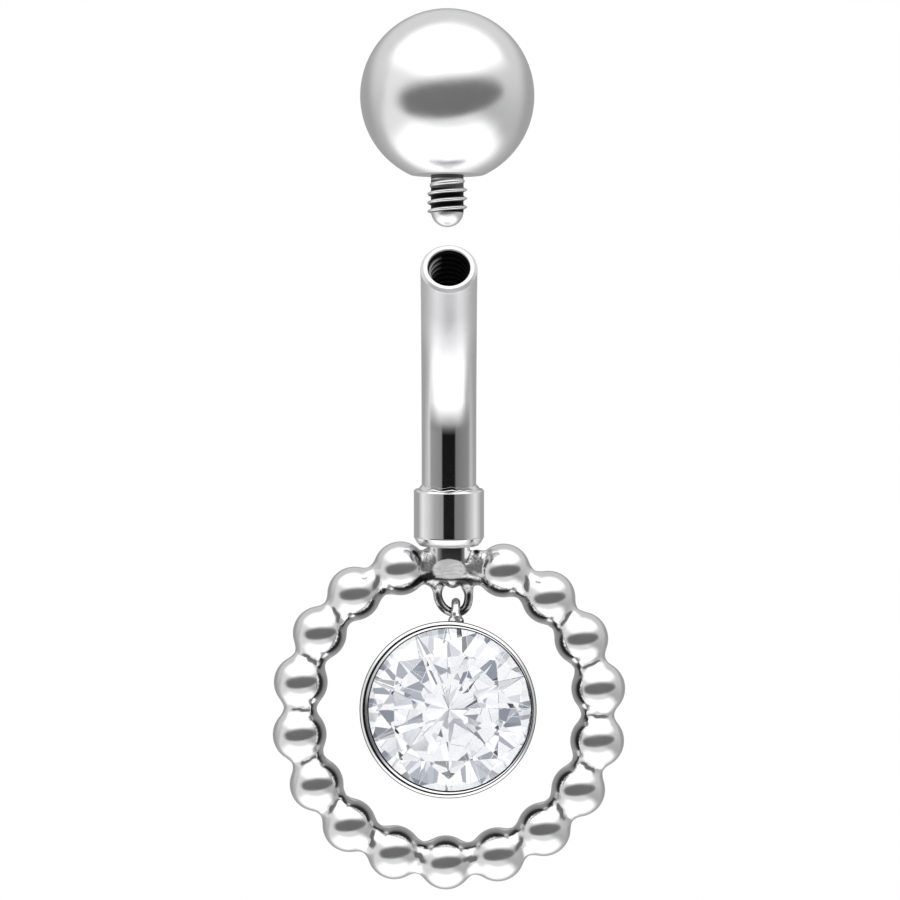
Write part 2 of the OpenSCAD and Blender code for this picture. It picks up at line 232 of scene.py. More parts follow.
def from_chain(points):
    """Distance to the beads and necks, by the nearest bead and the nearest neck."""
    turns = (np.arctan2(points[:, 0], points[:, 2]) - RING_TURN) / PLACE_TURN % BEAD_PLACES
    middles = np.array(bead_middles)
    nearest = middles[np.clip(np.round(turns).astype(int), 1, BEAD_PLACES - 1)]
    beads = from_ball(points, nearest, BEAD_D / 2)
    gap = np.clip(np.floor(turns).astype(int), 1, BEAD_PLACES - 2)
    along = middles[gap + 1] - middles[gap]
    share = ((points - middles[gap]) * along).sum(1) / (along * along).sum(1)
    share = held(share)[:, None]
    necks = from_ball(points - middles[gap], share * along, NECK_D / 2)
    between = held(1 - np.abs(share[:, 0] - 0.5) / NECK_MIDDLE)
    crinkle = NECK_CRINKLE * between * lumpiness(points, NECK_CRINKLE_SIZE)
    return joined(beads, necks, NECK_FILLET) + crinkle


def from_ground(points):
    """Distance to what was ground away: a crowned flat, with a slope up to the front of the post."""
    behind = points[:, 1] + GROUND_DEPTH
    slope = (behind + points[:, 2] - BRIDGE_Z - GROUND_BREAK) / math.sqrt(2)
    return np.maximum(behind + GROUND_CROWN * points[:, 0] ** 2, slope)


def from_loop(points):
    """Distance to both arms of the wire loop."""
    arms = (from_wire(points, left_arm, LOOP_WIRE_D / 2), from_wire(points, right_arm, LOOP_WIRE_D / 2))
    return np.minimum(*arms)


def from_cast_ring(points):
    """Distance to the whole fused ring, about the middle of the ring."""
    ring = from_chain(points)
    bridge = from_rod(points, bead_middles[-1], bead_middles[1], BRIDGE_D / 2)
    up = (points - bridge_middle) @ post_axis
    off_axis = np.linalg.norm(points - bridge_middle - up[:, None] * post_axis, axis=1)
    post = np.maximum(off_axis - POST_D / 2, np.maximum(-up, up - POST_TOP))
    rods = cut_by(joined(bridge, post, POST_FILLET), from_ground(points), GROUND_EASE)
    whole = joined(joined(ring, rods, BRIDGE_FILLET), from_loop(points), LOOP_FILLET)
    return joined(whole, from_solder(points), SOLDER_FILLET)


def slope_of(distance_to, points):
    """The direction in which a distance grows fastest."""
    slopes = np.empty_like(points)
    for axis in range(3):
        shift = np.zeros(3)
        shift[axis] = SLOPE_STEP
        slopes[:, axis] = (distance_to(points + shift) - distance_to(points - shift)) / (2 * SLOPE_STEP)
    return slopes


def geometry_tree(name, sizes):
    """A Geometry Nodes tree, and its inputs: a geometry, the named sizes and a material."""
    tree = bpy.data.node_groups.new(name, "GeometryNodeTree")
    kinds = {"Geometry": "NodeSocketGeometry", "Material": "NodeSocketMaterial"}
    for label in ("Geometry", *sizes, "Material"):
        kind = kinds.get(label, "NodeSocketFloat")
        tree.interface.new_socket(label, in_out="INPUT", socket_type=kind)
    tree.interface.new_socket("Geometry", in_out="OUTPUT", socket_type="NodeSocketGeometry")
    return tree, tree.nodes.new("NodeGroupInput").outputs


def add_node(tree, kind, inputs=(), **settings):
    """Adds a node, with its settings, and links or sets its inputs in order; None leaves one alone."""
    node = tree.nodes.new(kind)
    for label, value in settings.items():
        setattr(node, label, value)
    free = [socket for socket in node.inputs if socket.enabled]
    for socket, value in zip(free, inputs):
        if isinstance(value, bpy.types.NodeSocket):
            tree.links.new(value, socket)
        elif value is not None:
            socket.default_value = value
    return node


def result(tree, kind, inputs=(), **settings):
    """The first output in use of a node that is added in the same way."""
    node = add_node(tree, kind, inputs, **settings)
    return next(socket for socket in node.outputs if socket.enabled)


def finished_tree(tree, geometry, material):
    """Ends a Geometry Nodes tree with one mesh of one material."""
    whole = result(tree, "GeometryNodeRealizeInstances", [geometry])
    coated = result(tree, "GeometryNodeSetMaterial", [whole, None, material])
    tree.links.new(coated, tree.nodes.new("NodeGroupOutput").inputs[0])
    return tree


def plain_mesh(piece):
    """The evaluated mesh of an object, which is then removed with its modifiers."""
    depsgraph = bpy.context.evaluated_depsgraph_get()
    depsgraph.update()
    mesh = bpy.data.meshes.new_from_object(piece.evaluated_get(depsgraph), depsgraph=depsgraph)
    bpy.data.objects.remove(piece)
    return mesh


def in_scene(name, data):
    """A new object in the scene, which holds a mesh, lamp or camera."""
    piece = bpy.data.objects.new(name, data)
    bpy.context.scene.collection.objects.link(piece)
    return piece


def shaped_by(piece, tree, values):
    """The mesh that a Geometry Nodes tree makes of an object, with its inputs set by their names."""
    modifier = piece.modifiers.new(tree.name, "NODES")
    modifier.node_group = tree
    for item in tree.interface.items_tree:
        if item.in_out == "INPUT" and item.name in values:
            modifier[item.identifier] = values[item.name]
    return plain_mesh(piece)


def array_of(items, name):
    """A vector of each vertex or normal of a mesh as an array."""
    numbers = np.empty(len(items) * 3, np.float32)
    items.foreach_get(name, numbers)
    return numbers.reshape(-1, 3).astype(float)


def maths(tree, operation, *values):
    """The result of a sum with numbers, worked out by a node."""
    return result(tree, "ShaderNodeMath", values, operation=operation)


def vectors(tree, operation, *values):
    """The result of a sum with vectors, which is a vector or a number."""
    return result(tree, "ShaderNodeVectorMath", values, operation=operation)


def combined(tree, x, y, z):
    """A vector of three numbers."""
    return result(tree, "ShaderNodeCombineXYZ", [x, y, z])


def mixed(tree, share, first, second, kind="FLOAT"):
    """A mix of two numbers, or of two colours with the kind RGBA."""
    return result(tree, "ShaderNodeMix", [share, first, second], data_type=kind)


def ranged(tree, value, low, high, to_low=0.0, to_high=1.0, **settings):
    """A value stretched from one range to another, and held within it."""
    return result(tree, "ShaderNodeMapRange", [value, low, high, to_low, to_high], **settings)


def noise(tree, place, scale, detail, roughness):
    """A noise pattern between 0 and 1."""
    return add_node(tree, "ShaderNodeTexNoise", [place, scale, detail, roughness]).outputs["Fac"]


def object_place(tree):
    """The place on a piece, in its own frame."""
    return add_node(tree, "ShaderNodeTexCoord").outputs["Object"]


def stored(tree, name):
    """The value of an attribute of the mesh."""
    return add_node(tree, "ShaderNodeAttribute", attribute_name=name).outputs["Fac"]


def what_feeds(socket):
    """The output that is linked to an input."""
    return socket.links[0].from_socket


def grey(tone):
    """A grey colour."""
    return (tone, tone, tone, 1)


def polish_marks():
    """A shader group: faint haze and fine wheel marks, as masks between 0 and 1, for all the steel."""
    group = bpy.data.node_groups.new("polish_marks", "ShaderNodeTree")
    for label in ("Haze size", "Mark size", "Mark stretch"):
        group.interface.new_socket(label, in_out="INPUT", socket_type="NodeSocketFloat")
    for label in ("Haze", "Marks"):
        group.interface.new_socket(label, in_out="OUTPUT", socket_type="NodeSocketFloat")
    source = group.nodes.new("NodeGroupInput").outputs
    place = object_place(group)
    haze_scale = maths(group, "DIVIDE", 1 / MM, source["Haze size"])
    mark_scale = maths(group, "DIVIDE", 1 / MM, source["Mark size"])
    squeeze = maths(group, "DIVIDE", 1.0, source["Mark stretch"])
    stretched = vectors(group, "MULTIPLY", place, combined(group, squeeze, squeeze, 1.0))
    target = group.nodes.new("NodeGroupOutput").inputs
    group.links.new(noise(group, place, haze_scale, 3.0, 0.6), target["Haze"])
    group.links.new(noise(group, stretched, mark_scale, 2.0, 0.5), target["Marks"])
    return group


marks_group = polish_marks()


def add_marks(tree, haze_size, mark_size, mark_stretch):
    """Adds the shared group of haze and marks to a material, with its sizes in millimetres."""
    marks = add_node(tree, "ShaderNodeGroup", node_tree=marks_group)
    sizes = {"Haze size": haze_size, "Mark size": mark_size, "Mark stretch": mark_stretch}
    for label, size in sizes.items():
        marks.inputs[label].default_value = size
    return marks.outputs


def new_material(name):
    """A new material, with its tree and the inputs of its shader."""
    material = bpy.data.materials.new(name)
    material.use_nodes = True
    tree = material.node_tree
    return material, tree, tree.nodes["Principled BSDF"].inputs


def polished_steel(name, tone, roughness, haze_size=0.6, mark_stretch=4.0, mark_depth=0.0002):
    """A material of polished steel, a mirror with faint haze and wheel marks."""
    material, tree, shader = new_material(name)
    shader["Metallic"].default_value = 1
    marks = add_marks(tree, haze_size, 0.03, mark_stretch)
    haze = marks["Haze"]
    hazy = tuple(0.965 * share for share in tone)
    bump = add_node(tree, "ShaderNodeBump", [1.0, mark_depth * MM])
    tree.links.new(marks["Marks"], bump.inputs["Height"])
    tree.links.new(mixed(tree, haze, (*hazy, 1), (*tone, 1), "RGBA"), shader["Base Color"])
    tree.links.new(ranged(tree, haze, 0.3, 0.7, 0.7 * roughness, 1.3 * roughness), shader["Roughness"])
    tree.links.new(bump.outputs[0], shader["Normal"])
    return material


def treated(material, name, colour, roughness):
    """Gives a steel another colour, or None, and roughness where an attribute says: for solder and file
    marks, and for painted shade.
    """
    tree = material.node_tree
    shader = tree.nodes["Principled BSDF"].inputs
    share = stored(tree, name)
    if colour is not None:
        mix = mixed(tree, share, what_feeds(shader["Base Color"]), colour, "RGBA")
        tree.links.new(mix, shader["Base Color"])
    tree.links.new(mixed(tree, share, what_feeds(shader["Roughness"]), roughness), shader["Roughness"])


def store(mesh, values):
    """Stores numbers at the vertices of a mesh as attributes, each by its name."""
    for name, numbers in values.items():
        attribute = mesh.attributes.new(name, "FLOAT", "POINT")
        attribute.data.foreach_set("value", np.asarray(numbers, np.float32))


def mesh_of(name, points, faces, material, values):
    """A mesh of one material from points in millimetres and faces, with numbers stored by name."""
    mesh = bpy.data.meshes.new(name)
    mesh.from_pydata((np.asarray(points) * MM).tolist(), [], faces)
    mesh.materials.append(material)
    store(mesh, values)
    return mesh


def finished_piece(name, form, material, body, node, values):
    """Makes a piece of the object from vertices in millimetres, faces and normals, in the frame's place."""
    points, faces, normals = form
    mesh = mesh_of(name, points, faces, material, values)
    mesh.polygons.foreach_set("use_smooth", [True] * len(mesh.polygons))
    mesh.normals_split_custom_set_from_vertices(np.asarray(normals).tolist())
    piece = in_scene(name, mesh)
    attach(piece, body)
    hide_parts(node)
    return piece


def bead_chain():
    """A tree that strings beads and necks round a ring, leaving out the place at the top."""
    sizes = ["Places", "First turn", "Ring radius", "Bead radius", "Neck radius", "Pitch"]
    tree, source = geometry_tree("bead_chain", sizes)
    step = maths(tree, "DIVIDE", 2 * math.pi, source["Places"])
    both = add_node(tree, "GeometryNodeJoinGeometry")

    def string(missing, first, radius, form, lie):
        """Puts a form at each place round the ring, from a first place on, turned to lie along it."""
        count = maths(tree, "SUBTRACT", source["Places"], missing)
        line = result(tree, "GeometryNodeMeshLine", [count])
        place = maths(tree, "ADD", result(tree, "GeometryNodeInputIndex"), first)
        turn = maths(tree, "MULTIPLY_ADD", place, step, source["First turn"])
        spoke = combined(tree, maths(tree, "SINE", turn), 0.0, maths(tree, "COSINE", turn))
        at = vectors(tree, "SCALE", spoke, radius)
        points = result(tree, "GeometryNodeSetPosition", [line, None, at])
        euler = combined(tree, 0.0, maths(tree, "ADD", turn, math.pi / 2), 0.0)
        rotation = result(tree, "FunctionNodeEulerToRotation", [euler]) if lie else None
        strung = [points, None, form, None, None, rotation]
        tree.links.new(result(tree, "GeometryNodeInstanceOnPoints", strung), both.inputs[0])

    bead = result(tree, "GeometryNodeMeshIcoSphere", [source["Bead radius"], 5])
    string(1.0, 1.0, source["Ring radius"], bead, False)
    inset = maths(tree, "COSINE", maths(tree, "MULTIPLY", step, 0.5))
    neck_at = maths(tree, "MULTIPLY", source["Ring radius"], inset)
    neck = result(tree, "GeometryNodeMeshCylinder", [32, 1, 1, source["Neck radius"], source["Pitch"]])
    string(2.0, 1.5, neck_at, neck, True)
    return finished_tree(tree, both.outputs[0], source["Material"])


ring_steel = polished_steel("cast_ring_steel", (0.75, 0.75, 0.76), 0.15)

# Rough grain on the solder, file marks on the ground flat and painted shade, each where its attribute says
tree = ring_steel.node_tree
place = object_place(tree)
solder = stored(tree, "solder")
ground = stored(tree, "ground")
grain = noise(tree, place, 1 / (GRAIN_SIZE * MM), 3.0, 0.62)
crystals = noise(tree, place, 1 / (CRYSTAL_SIZE * MM), 3.0, 0.65)
along_x = vectors(tree, "MULTIPLY", place, (SCRATCH_SQUEEZE, 1.0, 1.0))
scratches = noise(tree, along_x, 1 / (SCRATCH_SIZE * MM), 2.0, 0.6)
bump = tree.nodes["Bump"].inputs
height = mixed(tree, solder, what_feeds(bump["Height"]), grain)
tree.links.new(mixed(tree, ground, height, scratches), bump["Height"])
rough = maths(tree, "MAXIMUM", solder, ground)
depth = ranged(tree, rough, 0.0, 1.0, SMOOTH_DEPTH * MM, ROUGH_DEPTH * MM)
tree.links.new(depth, bump["Distance"])
treated(ring_steel, "solder", ranged(tree, crystals, 0.42, 0.56, 0.35), 0.42)
treated(ring_steel, "ground", ranged(tree, scratches, 0.38, 0.62, 0.86), 0.9)
# Painted shade: the steel is made nearly black where the bands of shade are painted
treated(ring_steel, "painted_shade", grey(0.02), 0.3)

chain_sizes = {
    "Places": float(BEAD_PLACES),
    "First turn": RING_TURN,
    "Ring radius": RING_R,
    "Bead radius": BEAD_D / 2,
    "Neck radius": NECK_D / 2,
    "Pitch": BEAD_PITCH,
    "Material": ring_steel,
}
chain = in_scene("bead_chain", bpy.data.meshes.new("bead_chain"))
blank = bmesh.new()
blank.from_mesh(shaped_by(chain, bead_chain(), chain_sizes))


def add_rod(form, start, end, radius):
    """Adds a plain closed rod between two points to the blank."""
    along = Vector(end - start)
    turned = along.to_track_quat("Z", "Y").to_matrix().to_4x4()
    place = Matrix.Translation(Vector((start + end) / 2)) @ turned
    sizes = {"radius1": radius, "radius2": radius, "depth": along.length}
    bmesh.ops.create_cone(form, cap_ends=True, segments=24, matrix=place, **sizes)


def add_blob(form, middle, radius):
    """Adds a plain ball to the blank."""
    place = Matrix.Translation(Vector(middle))
    bmesh.ops.create_icosphere(form, subdivisions=3, radius=radius, matrix=place)


def add_wire(form, path, radius):
    """Adds a wire along a path of points to the blank."""
    for start, end in zip(path[:-1], path[1:]):
        add_rod(form, start, end, radius)
        add_blob(form, start, radius)


def cast_form(blank, distance_to, voxel):
    """Fuses a blank and draws its skin onto a form, by the distance to it: points, faces and normals."""
    blank_mesh = bpy.data.meshes.new("blank")
    blank.to_mesh(blank_mesh)
    blank.free()
    cast = in_scene("blank", blank_mesh)
    remesh = cast.modifiers.new("fuse", "REMESH")
    remesh.mode = "VOXEL"
    remesh.voxel_size = voxel
    cast_mesh = plain_mesh(cast)
    surface = array_of(cast_mesh.vertices, "co")
    for _ in range(PROJECTION_STEPS):
        slope = slope_of(distance_to, surface)
        surface -= slope * (distance_to(surface) / np.maximum((slope ** 2).sum(1), 0.3))[:, None]
    slope = slope_of(distance_to, surface)
    faces = [tuple(face.vertices) for face in cast_mesh.polygons]
    return surface, faces, slope / np.linalg.norm(slope, axis=1)[:, None]


add_rod(blank, bead_middles[-1], bead_middles[1], BRIDGE_D / 2)
add_rod(blank, bridge_middle, bridge_middle + POST_TOP * post_axis, POST_D / 2)
for path in (left_arm, right_arm):
    add_wire(blank, path, LOOP_WIRE_D / 2)
for middle, radius in solder_balls:
    add_blob(blank, middle, radius)
surface, faces, normals = cast_form(blank, from_cast_ring, CAST_VOXEL)

# Where the surface is solder or roughened like it, and where it is ground flat
on_solder = held(1 - from_solder(surface) / SOLDER_SPREAD)
in_flat = held(1.5 - np.abs(from_ground(surface)) / 0.02)
lens = 1 - (surface[:, 0] / FLAT_LENS[0]) ** 2 - ((surface[:, 2] - BRIDGE_Z) / FLAT_LENS[1]) ** 2
in_flat *= held(lens / 0.2)
filed = bead_middles[1] + BEAD_D / 2 * np.array(FILED_AT)
in_file = held(-from_ball(surface, filed, FILED_R) / 0.05)
on_rod = held(0.5 - from_rod(surface, bead_middles[-1], bead_middles[1], BRIDGE_D / 2) / 0.06)
on_rod *= held((1.12 - np.abs(surface[:, 0])) / 0.15)
on_solder = np.maximum(on_solder, np.maximum(0.6 * in_file, 0.95 * on_rod))
# Painted shade: dark bands under the bridge's ends and beside the post
painted_shade_rods = [
    [[-1.05, -0.45, -0.38], [-0.50, -0.40, -0.16], 0.15],
    [[1.15, -0.45, -0.36], [0.60, -0.45, -0.08], 0.04],
    [[1.10, -0.45, -0.42], [0.45, -0.35, -0.26], 0.07],
    [[-1.02, -0.45, 0.50], [-0.78, -0.40, 0.12], 0.09],
    [[0.80, -0.35, 0.60], [0.82, -0.35, 0.42], 0.10],
    [[-0.40, -0.36, -0.27], [0.55, -0.36, -0.29], 0.06],
]
painted_shade = np.zeros(len(surface))
for start, end, radius in painted_shade_rods:
    off_rod = from_rod(surface, bridge_middle + start, bridge_middle + end, radius)
    painted_shade = np.maximum(painted_shade, held(0.5 - off_rod / 0.06))
on_wire = held(1 - from_loop(surface) / 0.03) * (surface[:, 2] < BRIDGE_Z - BRIDGE_D / 2 - 0.04)
spoke = surface - [LOOP_SIDE, 0, BRIDGE_Z - LOOP_DROP + LOOP_W / 2]
spoke[:, 1] = 0
outwards = (normals * spoke).sum(1) / np.maximum(np.linalg.norm(spoke, axis=1), 1e-6)
# Painted reflection: dark stripes along the wire, from its inner side to its outer side
stripe_at = [-0.75, -0.55, -0.3, -0.15, 0.2, 0.4, 0.86, 0.95]
painted_wire_reflection = np.interp(outwards, stripe_at, [1, 0.25, 0.25, 1, 1, 0, 0, 1])
painted_shade = np.maximum(painted_shade * (1 - in_flat), painted_wire_reflection * on_wire)

finished_piece(
    "bead_ring_cast", (surface + ring_middle, faces, normals), ring_steel, "root", "bead_ring",
    {"solder": on_solder, "ground": in_flat, "painted_shade": painted_shade},
)

# Collar
# The real collar is a short sleeve turned from steel bar. The post stands in it from below and the
# curved bar from above, where a thin uneven weld runs round the joint.
COLLAR_STAND = 0.72
COLLAR_H = 1.65
COLLAR_R = 1.03
COLLAR_BEVEL = 0.24
COLLAR_TOP_BEVEL = 0.05
POST_BORE_R = POST_D / 2 + 0.01
BAR_R = 0.8
WELD_H = 0.11
WELD_W = 0.1
SHOULDER = 0.63
CORNER_STEPS = 5


def rounded_outline(corners, closed=True):
    """Points and normals, as radius and height, of an outline with rounded corners, each given as
    radius, height and rounding; it runs up the outside of the piece."""
    corners = np.array(corners, float)
    places = corners[:, :2]
    ways_in = places - np.roll(places, 1, 0)
    ways_out = np.roll(places, -1, 0) - places
    if not closed:
        ways_in[0], ways_out[-1] = ways_out[0], ways_in[-1]
    points = []
    normals = []
    for here, rounding, before, after in zip(places, corners[:, 2], ways_in, ways_out):
        before = before / np.linalg.norm(before)
        after = after / np.linalg.norm(after)
        turn = math.atan2(before[0] * after[1] - before[1] * after[0], before @ after)
        normal = np.array([before[1], -before[0]])
        if abs(turn) < 1e-6:
            points.append(here)
            normals.append(normal)
            continue
        bulge = math.copysign(1, turn)
        middle = here - before * rounding * math.tan(abs(turn) / 2) - bulge * normal * rounding
        for step in range(CORNER_STEPS + 1):
            part = turn * step / CORNER_STEPS
            cosine, sine = math.cos(part), math.sin(part)
            sweep = np.array([normal[0] * cosine - normal[1] * sine, normal[0] * sine + normal[1] * cosine])
            points.append(middle + bulge * rounding * sweep)
            normals.append(sweep)
    return np.array(points), np.array(normals)


def turned(outline, outline_normals, sides, closed=True):
    """Vertices, faces and normals of a form turned about Z; an open outline starts and ends on the axis."""
    around = np.arange(sides) * 2 * math.pi / sides
    across, along = np.cos(around), np.sin(around)
    points = []
    normals = []
    rings = []
    for (radius, height), (out, up) in zip(outline, outline_normals):
        start = len(points)
        if not closed and radius < 1e-9:
            points.append([0, 0, height])
            normals.append([0, 0, math.copysign(1, up)])
            rings.append([start] * sides)
            continue
        points.extend(np.stack([radius * across, radius * along, np.full(sides, height)], 1))
        normals.extend(np.stack([out * across, out * along, np.full(sides, up)], 1))
        rings.append(range(start, start + sides))
    if closed:
        rings.append(rings[0])
    faces = []
    for low, high in zip(rings[:-1], rings[1:]):
        for j in range(sides):
            k = (j + 1) % sides
            # A face at the axis has three corners, because two of its four are the same point
            faces.append(tuple(dict.fromkeys((low[j], low[k], high[k], high[j]))))
    return np.array(points), faces, np.array(normals)


def up_the_post(points):
    """Turns what is drawn along Z into the lean of the post and bar."""
    lean = np.array([
        [1, 0, 0],
        [0, math.cos(BAR_LEAN), -math.sin(BAR_LEAN)],
        [0, math.sin(BAR_LEAN), math.cos(BAR_LEAN)],
    ])
    return points @ lean.T


def from_bridge(points):
    """Places what is drawn along Z, from the bridge's middle up, along the post in the part's frame."""
    return up_the_post(points) + bridge_middle + ring_middle


collar_outline, collar_slopes = rounded_outline([
    [POST_BORE_R, 0, 0.02],
    [COLLAR_R - 0.17, 0, 0.01],
    [COLLAR_R - 0.085, 0.09, 0.02],
    [COLLAR_R, COLLAR_BEVEL, 0.03],
    [COLLAR_R, COLLAR_H - COLLAR_TOP_BEVEL, 0.02],
    [COLLAR_R - COLLAR_TOP_BEVEL, COLLAR_H, 0.02],
    [BAR_R + WELD_W, COLLAR_H + 0.01, 0.03],
    [BAR_R + 0.02, COLLAR_H + WELD_H, 0.01],
    [BAR_R - 0.02, COLLAR_H + WELD_H, 0.01],
    [BAR_R - 0.02, SHOULDER, 0.02],
    [POST_BORE_R, SHOULDER, 0.02],
])
points, faces, normals = turned(collar_outline, collar_slopes, 256)
around = np.arctan2(points[:, 1], points[:, 0])
on_weld = held((points[:, 2] - COLLAR_H + 0.02) / 0.06)
ripple = np.sin(8 * around + 1.3 * np.sin(3 * around)) + 0.6 * np.sin(15 * around + 2 * np.sin(5 * around))
points[:, 2] += 0.02 * on_weld * ripple
on_bevel = (points[:, 2] < COLLAR_BEVEL - 0.015) & (np.hypot(points[:, 0], points[:, 1]) > COLLAR_R - 0.2)
collar_steel = polished_steel("collar_steel", (0.84, 0.84, 0.85), 0.1, mark_stretch=8.0)
treated(collar_steel, "bevel", grey(0.84), 0.5)
collar_form = (from_bridge(points + [0, 0, COLLAR_STAND]), faces, up_the_post(normals))
finished_piece(
    "collar_sleeve", collar_form, collar_steel, "root", "collar", {"bevel": on_bevel},
)

# Curved bar
# The real bar is 14 gauge steel rod, turned straight, bored and tapped M1.2 at one end, bent round,
# and polished. Its foot is pushed into the collar and welded there.
BEND_R = 7.05
BEND_TURN = math.radians(55.5)
BEND_LEN = BEND_R * BEND_TURN
END_LEN = 1.5
BAR_SEAT = 1.0
MOUTH_BEVEL = 0.09
MOUTH_EASE = 0.02
BORE_R = 0.6
BORE_CREST_R = 0.525
BORE_DEPTH = 2.0
THREAD_PITCH = 0.25
SATIN_FROM = 3.2
SATIN_TO = 6.0


def cut_thread():
    """A tree that draws a helical thread on a turned form, where its thread attribute says."""
    tree, source = geometry_tree("cut_thread", ["Pitch", "Depth", "Crest", "Start"])
    position = result(tree, "GeometryNodeInputPosition")
    apart = add_node(tree, "ShaderNodeSeparateXYZ", [position]).outputs
    turn = maths(tree, "DIVIDE", maths(tree, "ARCTAN2", apart["Y"], apart["X"]), 2 * math.pi)
    height = maths(tree, "SUBTRACT", apart["Z"], source["Start"])
    phase = maths(tree, "SUBTRACT", maths(tree, "DIVIDE", height, source["Pitch"]), turn)
    ridge = maths(tree, "MULTIPLY", maths(tree, "PINGPONG", phase, 0.5), 2.0)
    rise = ranged(tree, ridge, source["Crest"], 0.88, interpolation_type="SMOOTHSTEP")
    share = result(tree, "GeometryNodeInputNamedAttribute", ["thread"], data_type="FLOAT")
    reach = maths(tree, "MULTIPLY", maths(tree, "MULTIPLY", rise, share), source["Depth"])
    out = vectors(tree, "NORMALIZE", combined(tree, apart["X"], apart["Y"], 0.0))
    offset = vectors(tree, "SCALE", out, reach)
    cut = result(tree, "GeometryNodeSetPosition", [source["Geometry"], None, None, offset])
    return finished_tree(tree, cut, source["Material"])


thread_tree = cut_thread()


def with_thread(points, faces, normals, share, sizes, material):
    """Cuts a thread in a turned form; its normals are then those of the cut surface."""
    mesh = bpy.data.meshes.new("blank")
    mesh.from_pydata(points.tolist(), [], faces)
    store(mesh, {"thread": share})
    cut = shaped_by(in_scene("blank", mesh), thread_tree, dict(sizes, Material=material))
    threaded = (share > 0)[:, None]
    return array_of(cut.vertices, "co"), np.where(threaded, array_of(cut.vertex_normals, "vector"), normals)


def bent(points, normals):
    """Bends what is drawn straight along Z, from the bend's foot up, forward round the bar's bend."""
    turn = np.clip(points[:, 2] / BEND_R, 0, BEND_TURN)
    rest = points[:, 2] - turn * BEND_R
    y = -BEND_R + (BEND_R + points[:, 1]) * np.cos(turn) - rest * np.sin(turn)
    z = (BEND_R + points[:, 1]) * np.sin(turn) + rest * np.cos(turn)
    normal_y = normals[:, 1] * np.cos(turn) - normals[:, 2] * np.sin(turn)
    normal_z = normals[:, 1] * np.sin(turn) + normals[:, 2] * np.cos(turn)
    return np.stack([points[:, 0], y, z], 1), np.stack([normals[:, 0], normal_y, normal_z], 1)


bar_top = BEND_LEN + END_LEN
wall_rows = np.linspace(-BAR_SEAT + 0.05, bar_top - MOUTH_BEVEL - 0.1, 140)
bore_rows = np.linspace(bar_top - MOUTH_EASE - 0.02, bar_top - BORE_DEPTH + 0.05, 150)
bar_corners = [[0, -BAR_SEAT + 0.02, 0], [BAR_R - 0.01, -BAR_SEAT + 0.02, 0.01]]
bar_corners += [[BAR_R, row, 0] for row in wall_rows]
bar_corners += [
    [BAR_R, bar_top - MOUTH_BEVEL, 0.03],
    [BAR_R - MOUTH_BEVEL, bar_top, 0.02],
    [BORE_R + MOUTH_EASE, bar_top, 0.01],
    [BORE_R, bar_top - MOUTH_EASE, 0.01],
]
bar_corners += [[BORE_R, row, 0] for row in bore_rows]
bar_corners += [[BORE_R, bar_top - BORE_DEPTH, 0.02], [0, bar_top - BORE_DEPTH, 0]]
bar_outline, bar_slopes = rounded_outline(bar_corners, closed=False)
points, faces, normals = turned(bar_outline, bar_slopes, 160, closed=False)
in_bore = np.abs(np.hypot(points[:, 0], points[:, 1]) - BORE_R) < 1e-4
in_bore &= points[:, 2] > bar_top - BORE_DEPTH + 0.04
share = in_bore * held((bar_top - MOUTH_EASE - points[:, 2]) / 0.16)
bar_steel = polished_steel("bar_steel", (0.84, 0.84, 0.85), 0.09, mark_stretch=10.0)
bore_cut = {"Pitch": THREAD_PITCH, "Depth": BORE_CREST_R - BORE_R, "Crest": 0.2, "Start": bar_top}
points, normals = with_thread(points, faces, normals, share, bore_cut, bar_steel)
deep = bar_top - points[:, 2]
bore_radius = np.hypot(points[:, 0], points[:, 1])
crest = held((BORE_R - bore_radius) / (BORE_R - BORE_CREST_R) * 1.5 - 0.5)
lit = crest * held(-1.6 * points[:, 0] / BORE_R - 0.5) * held(1.3 - 1.2 * deep)
in_bore = (bore_radius < BORE_R + 0.005) & (deep > 0.005)
painted_bore_shade = in_bore * held(deep / 0.05) * (1 - 0.85 * lit)
satin = held((points[:, 2] - SATIN_FROM) / (SATIN_TO - SATIN_FROM))
satin = satin * satin * (3 - 2 * satin)

# The bore is painted dark as shade but for the first crests on its left, which are left light as a painted
# highlight, and the bar is duller towards the mouth
treated(bar_steel, "satin", None, 0.46)
treated(bar_steel, "bore", grey(0.004), 0.9)
points, normals = bent(points, normals)
bar_form = (from_bridge(points + [0, 0, COLLAR_STAND + COLLAR_H]), faces, up_the_post(normals))
bar = finished_piece(
    "curved_bar_rod", bar_form, bar_steel, "root", "curved_bar",
    {"bore": painted_bore_shade, "satin": satin},
)
bar.visible_glossy = False

# Ball
# The real ball is turned from steel bar and polished to a mirror, with a flat round the stud. It
# hangs above the bar's mouth in the photograph, unscrewed from it.
BALL_R = 2.5
FLAT_W = 2.1
FLAT_EASE = 0.03
FLAT_DROP = math.sqrt(BALL_R ** 2 - (FLAT_W / 2) ** 2)
ball_low, ball_high = (np.array(corner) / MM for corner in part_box("top_ball"))
ball_middle = np.array([*(ball_low + ball_high)[:2] / 2, ball_high[2] - BALL_R])
ease_r = math.sqrt((BALL_R - FLAT_EASE) ** 2 - (FLAT_DROP - FLAT_EASE) ** 2)
ease_at = np.array([ease_r, FLAT_EASE - FLAT_DROP])
ease_to = math.atan2(ease_at[1], ease_at[0])


def arc(middle, radius, start, end, count):
    """Points and normals of an outline's arc, between two angles up from the radius."""
    turns = np.linspace(start, end, count)
    normals = np.stack([np.cos(turns), np.sin(turns)], 1)
    return middle + radius * normals, normals


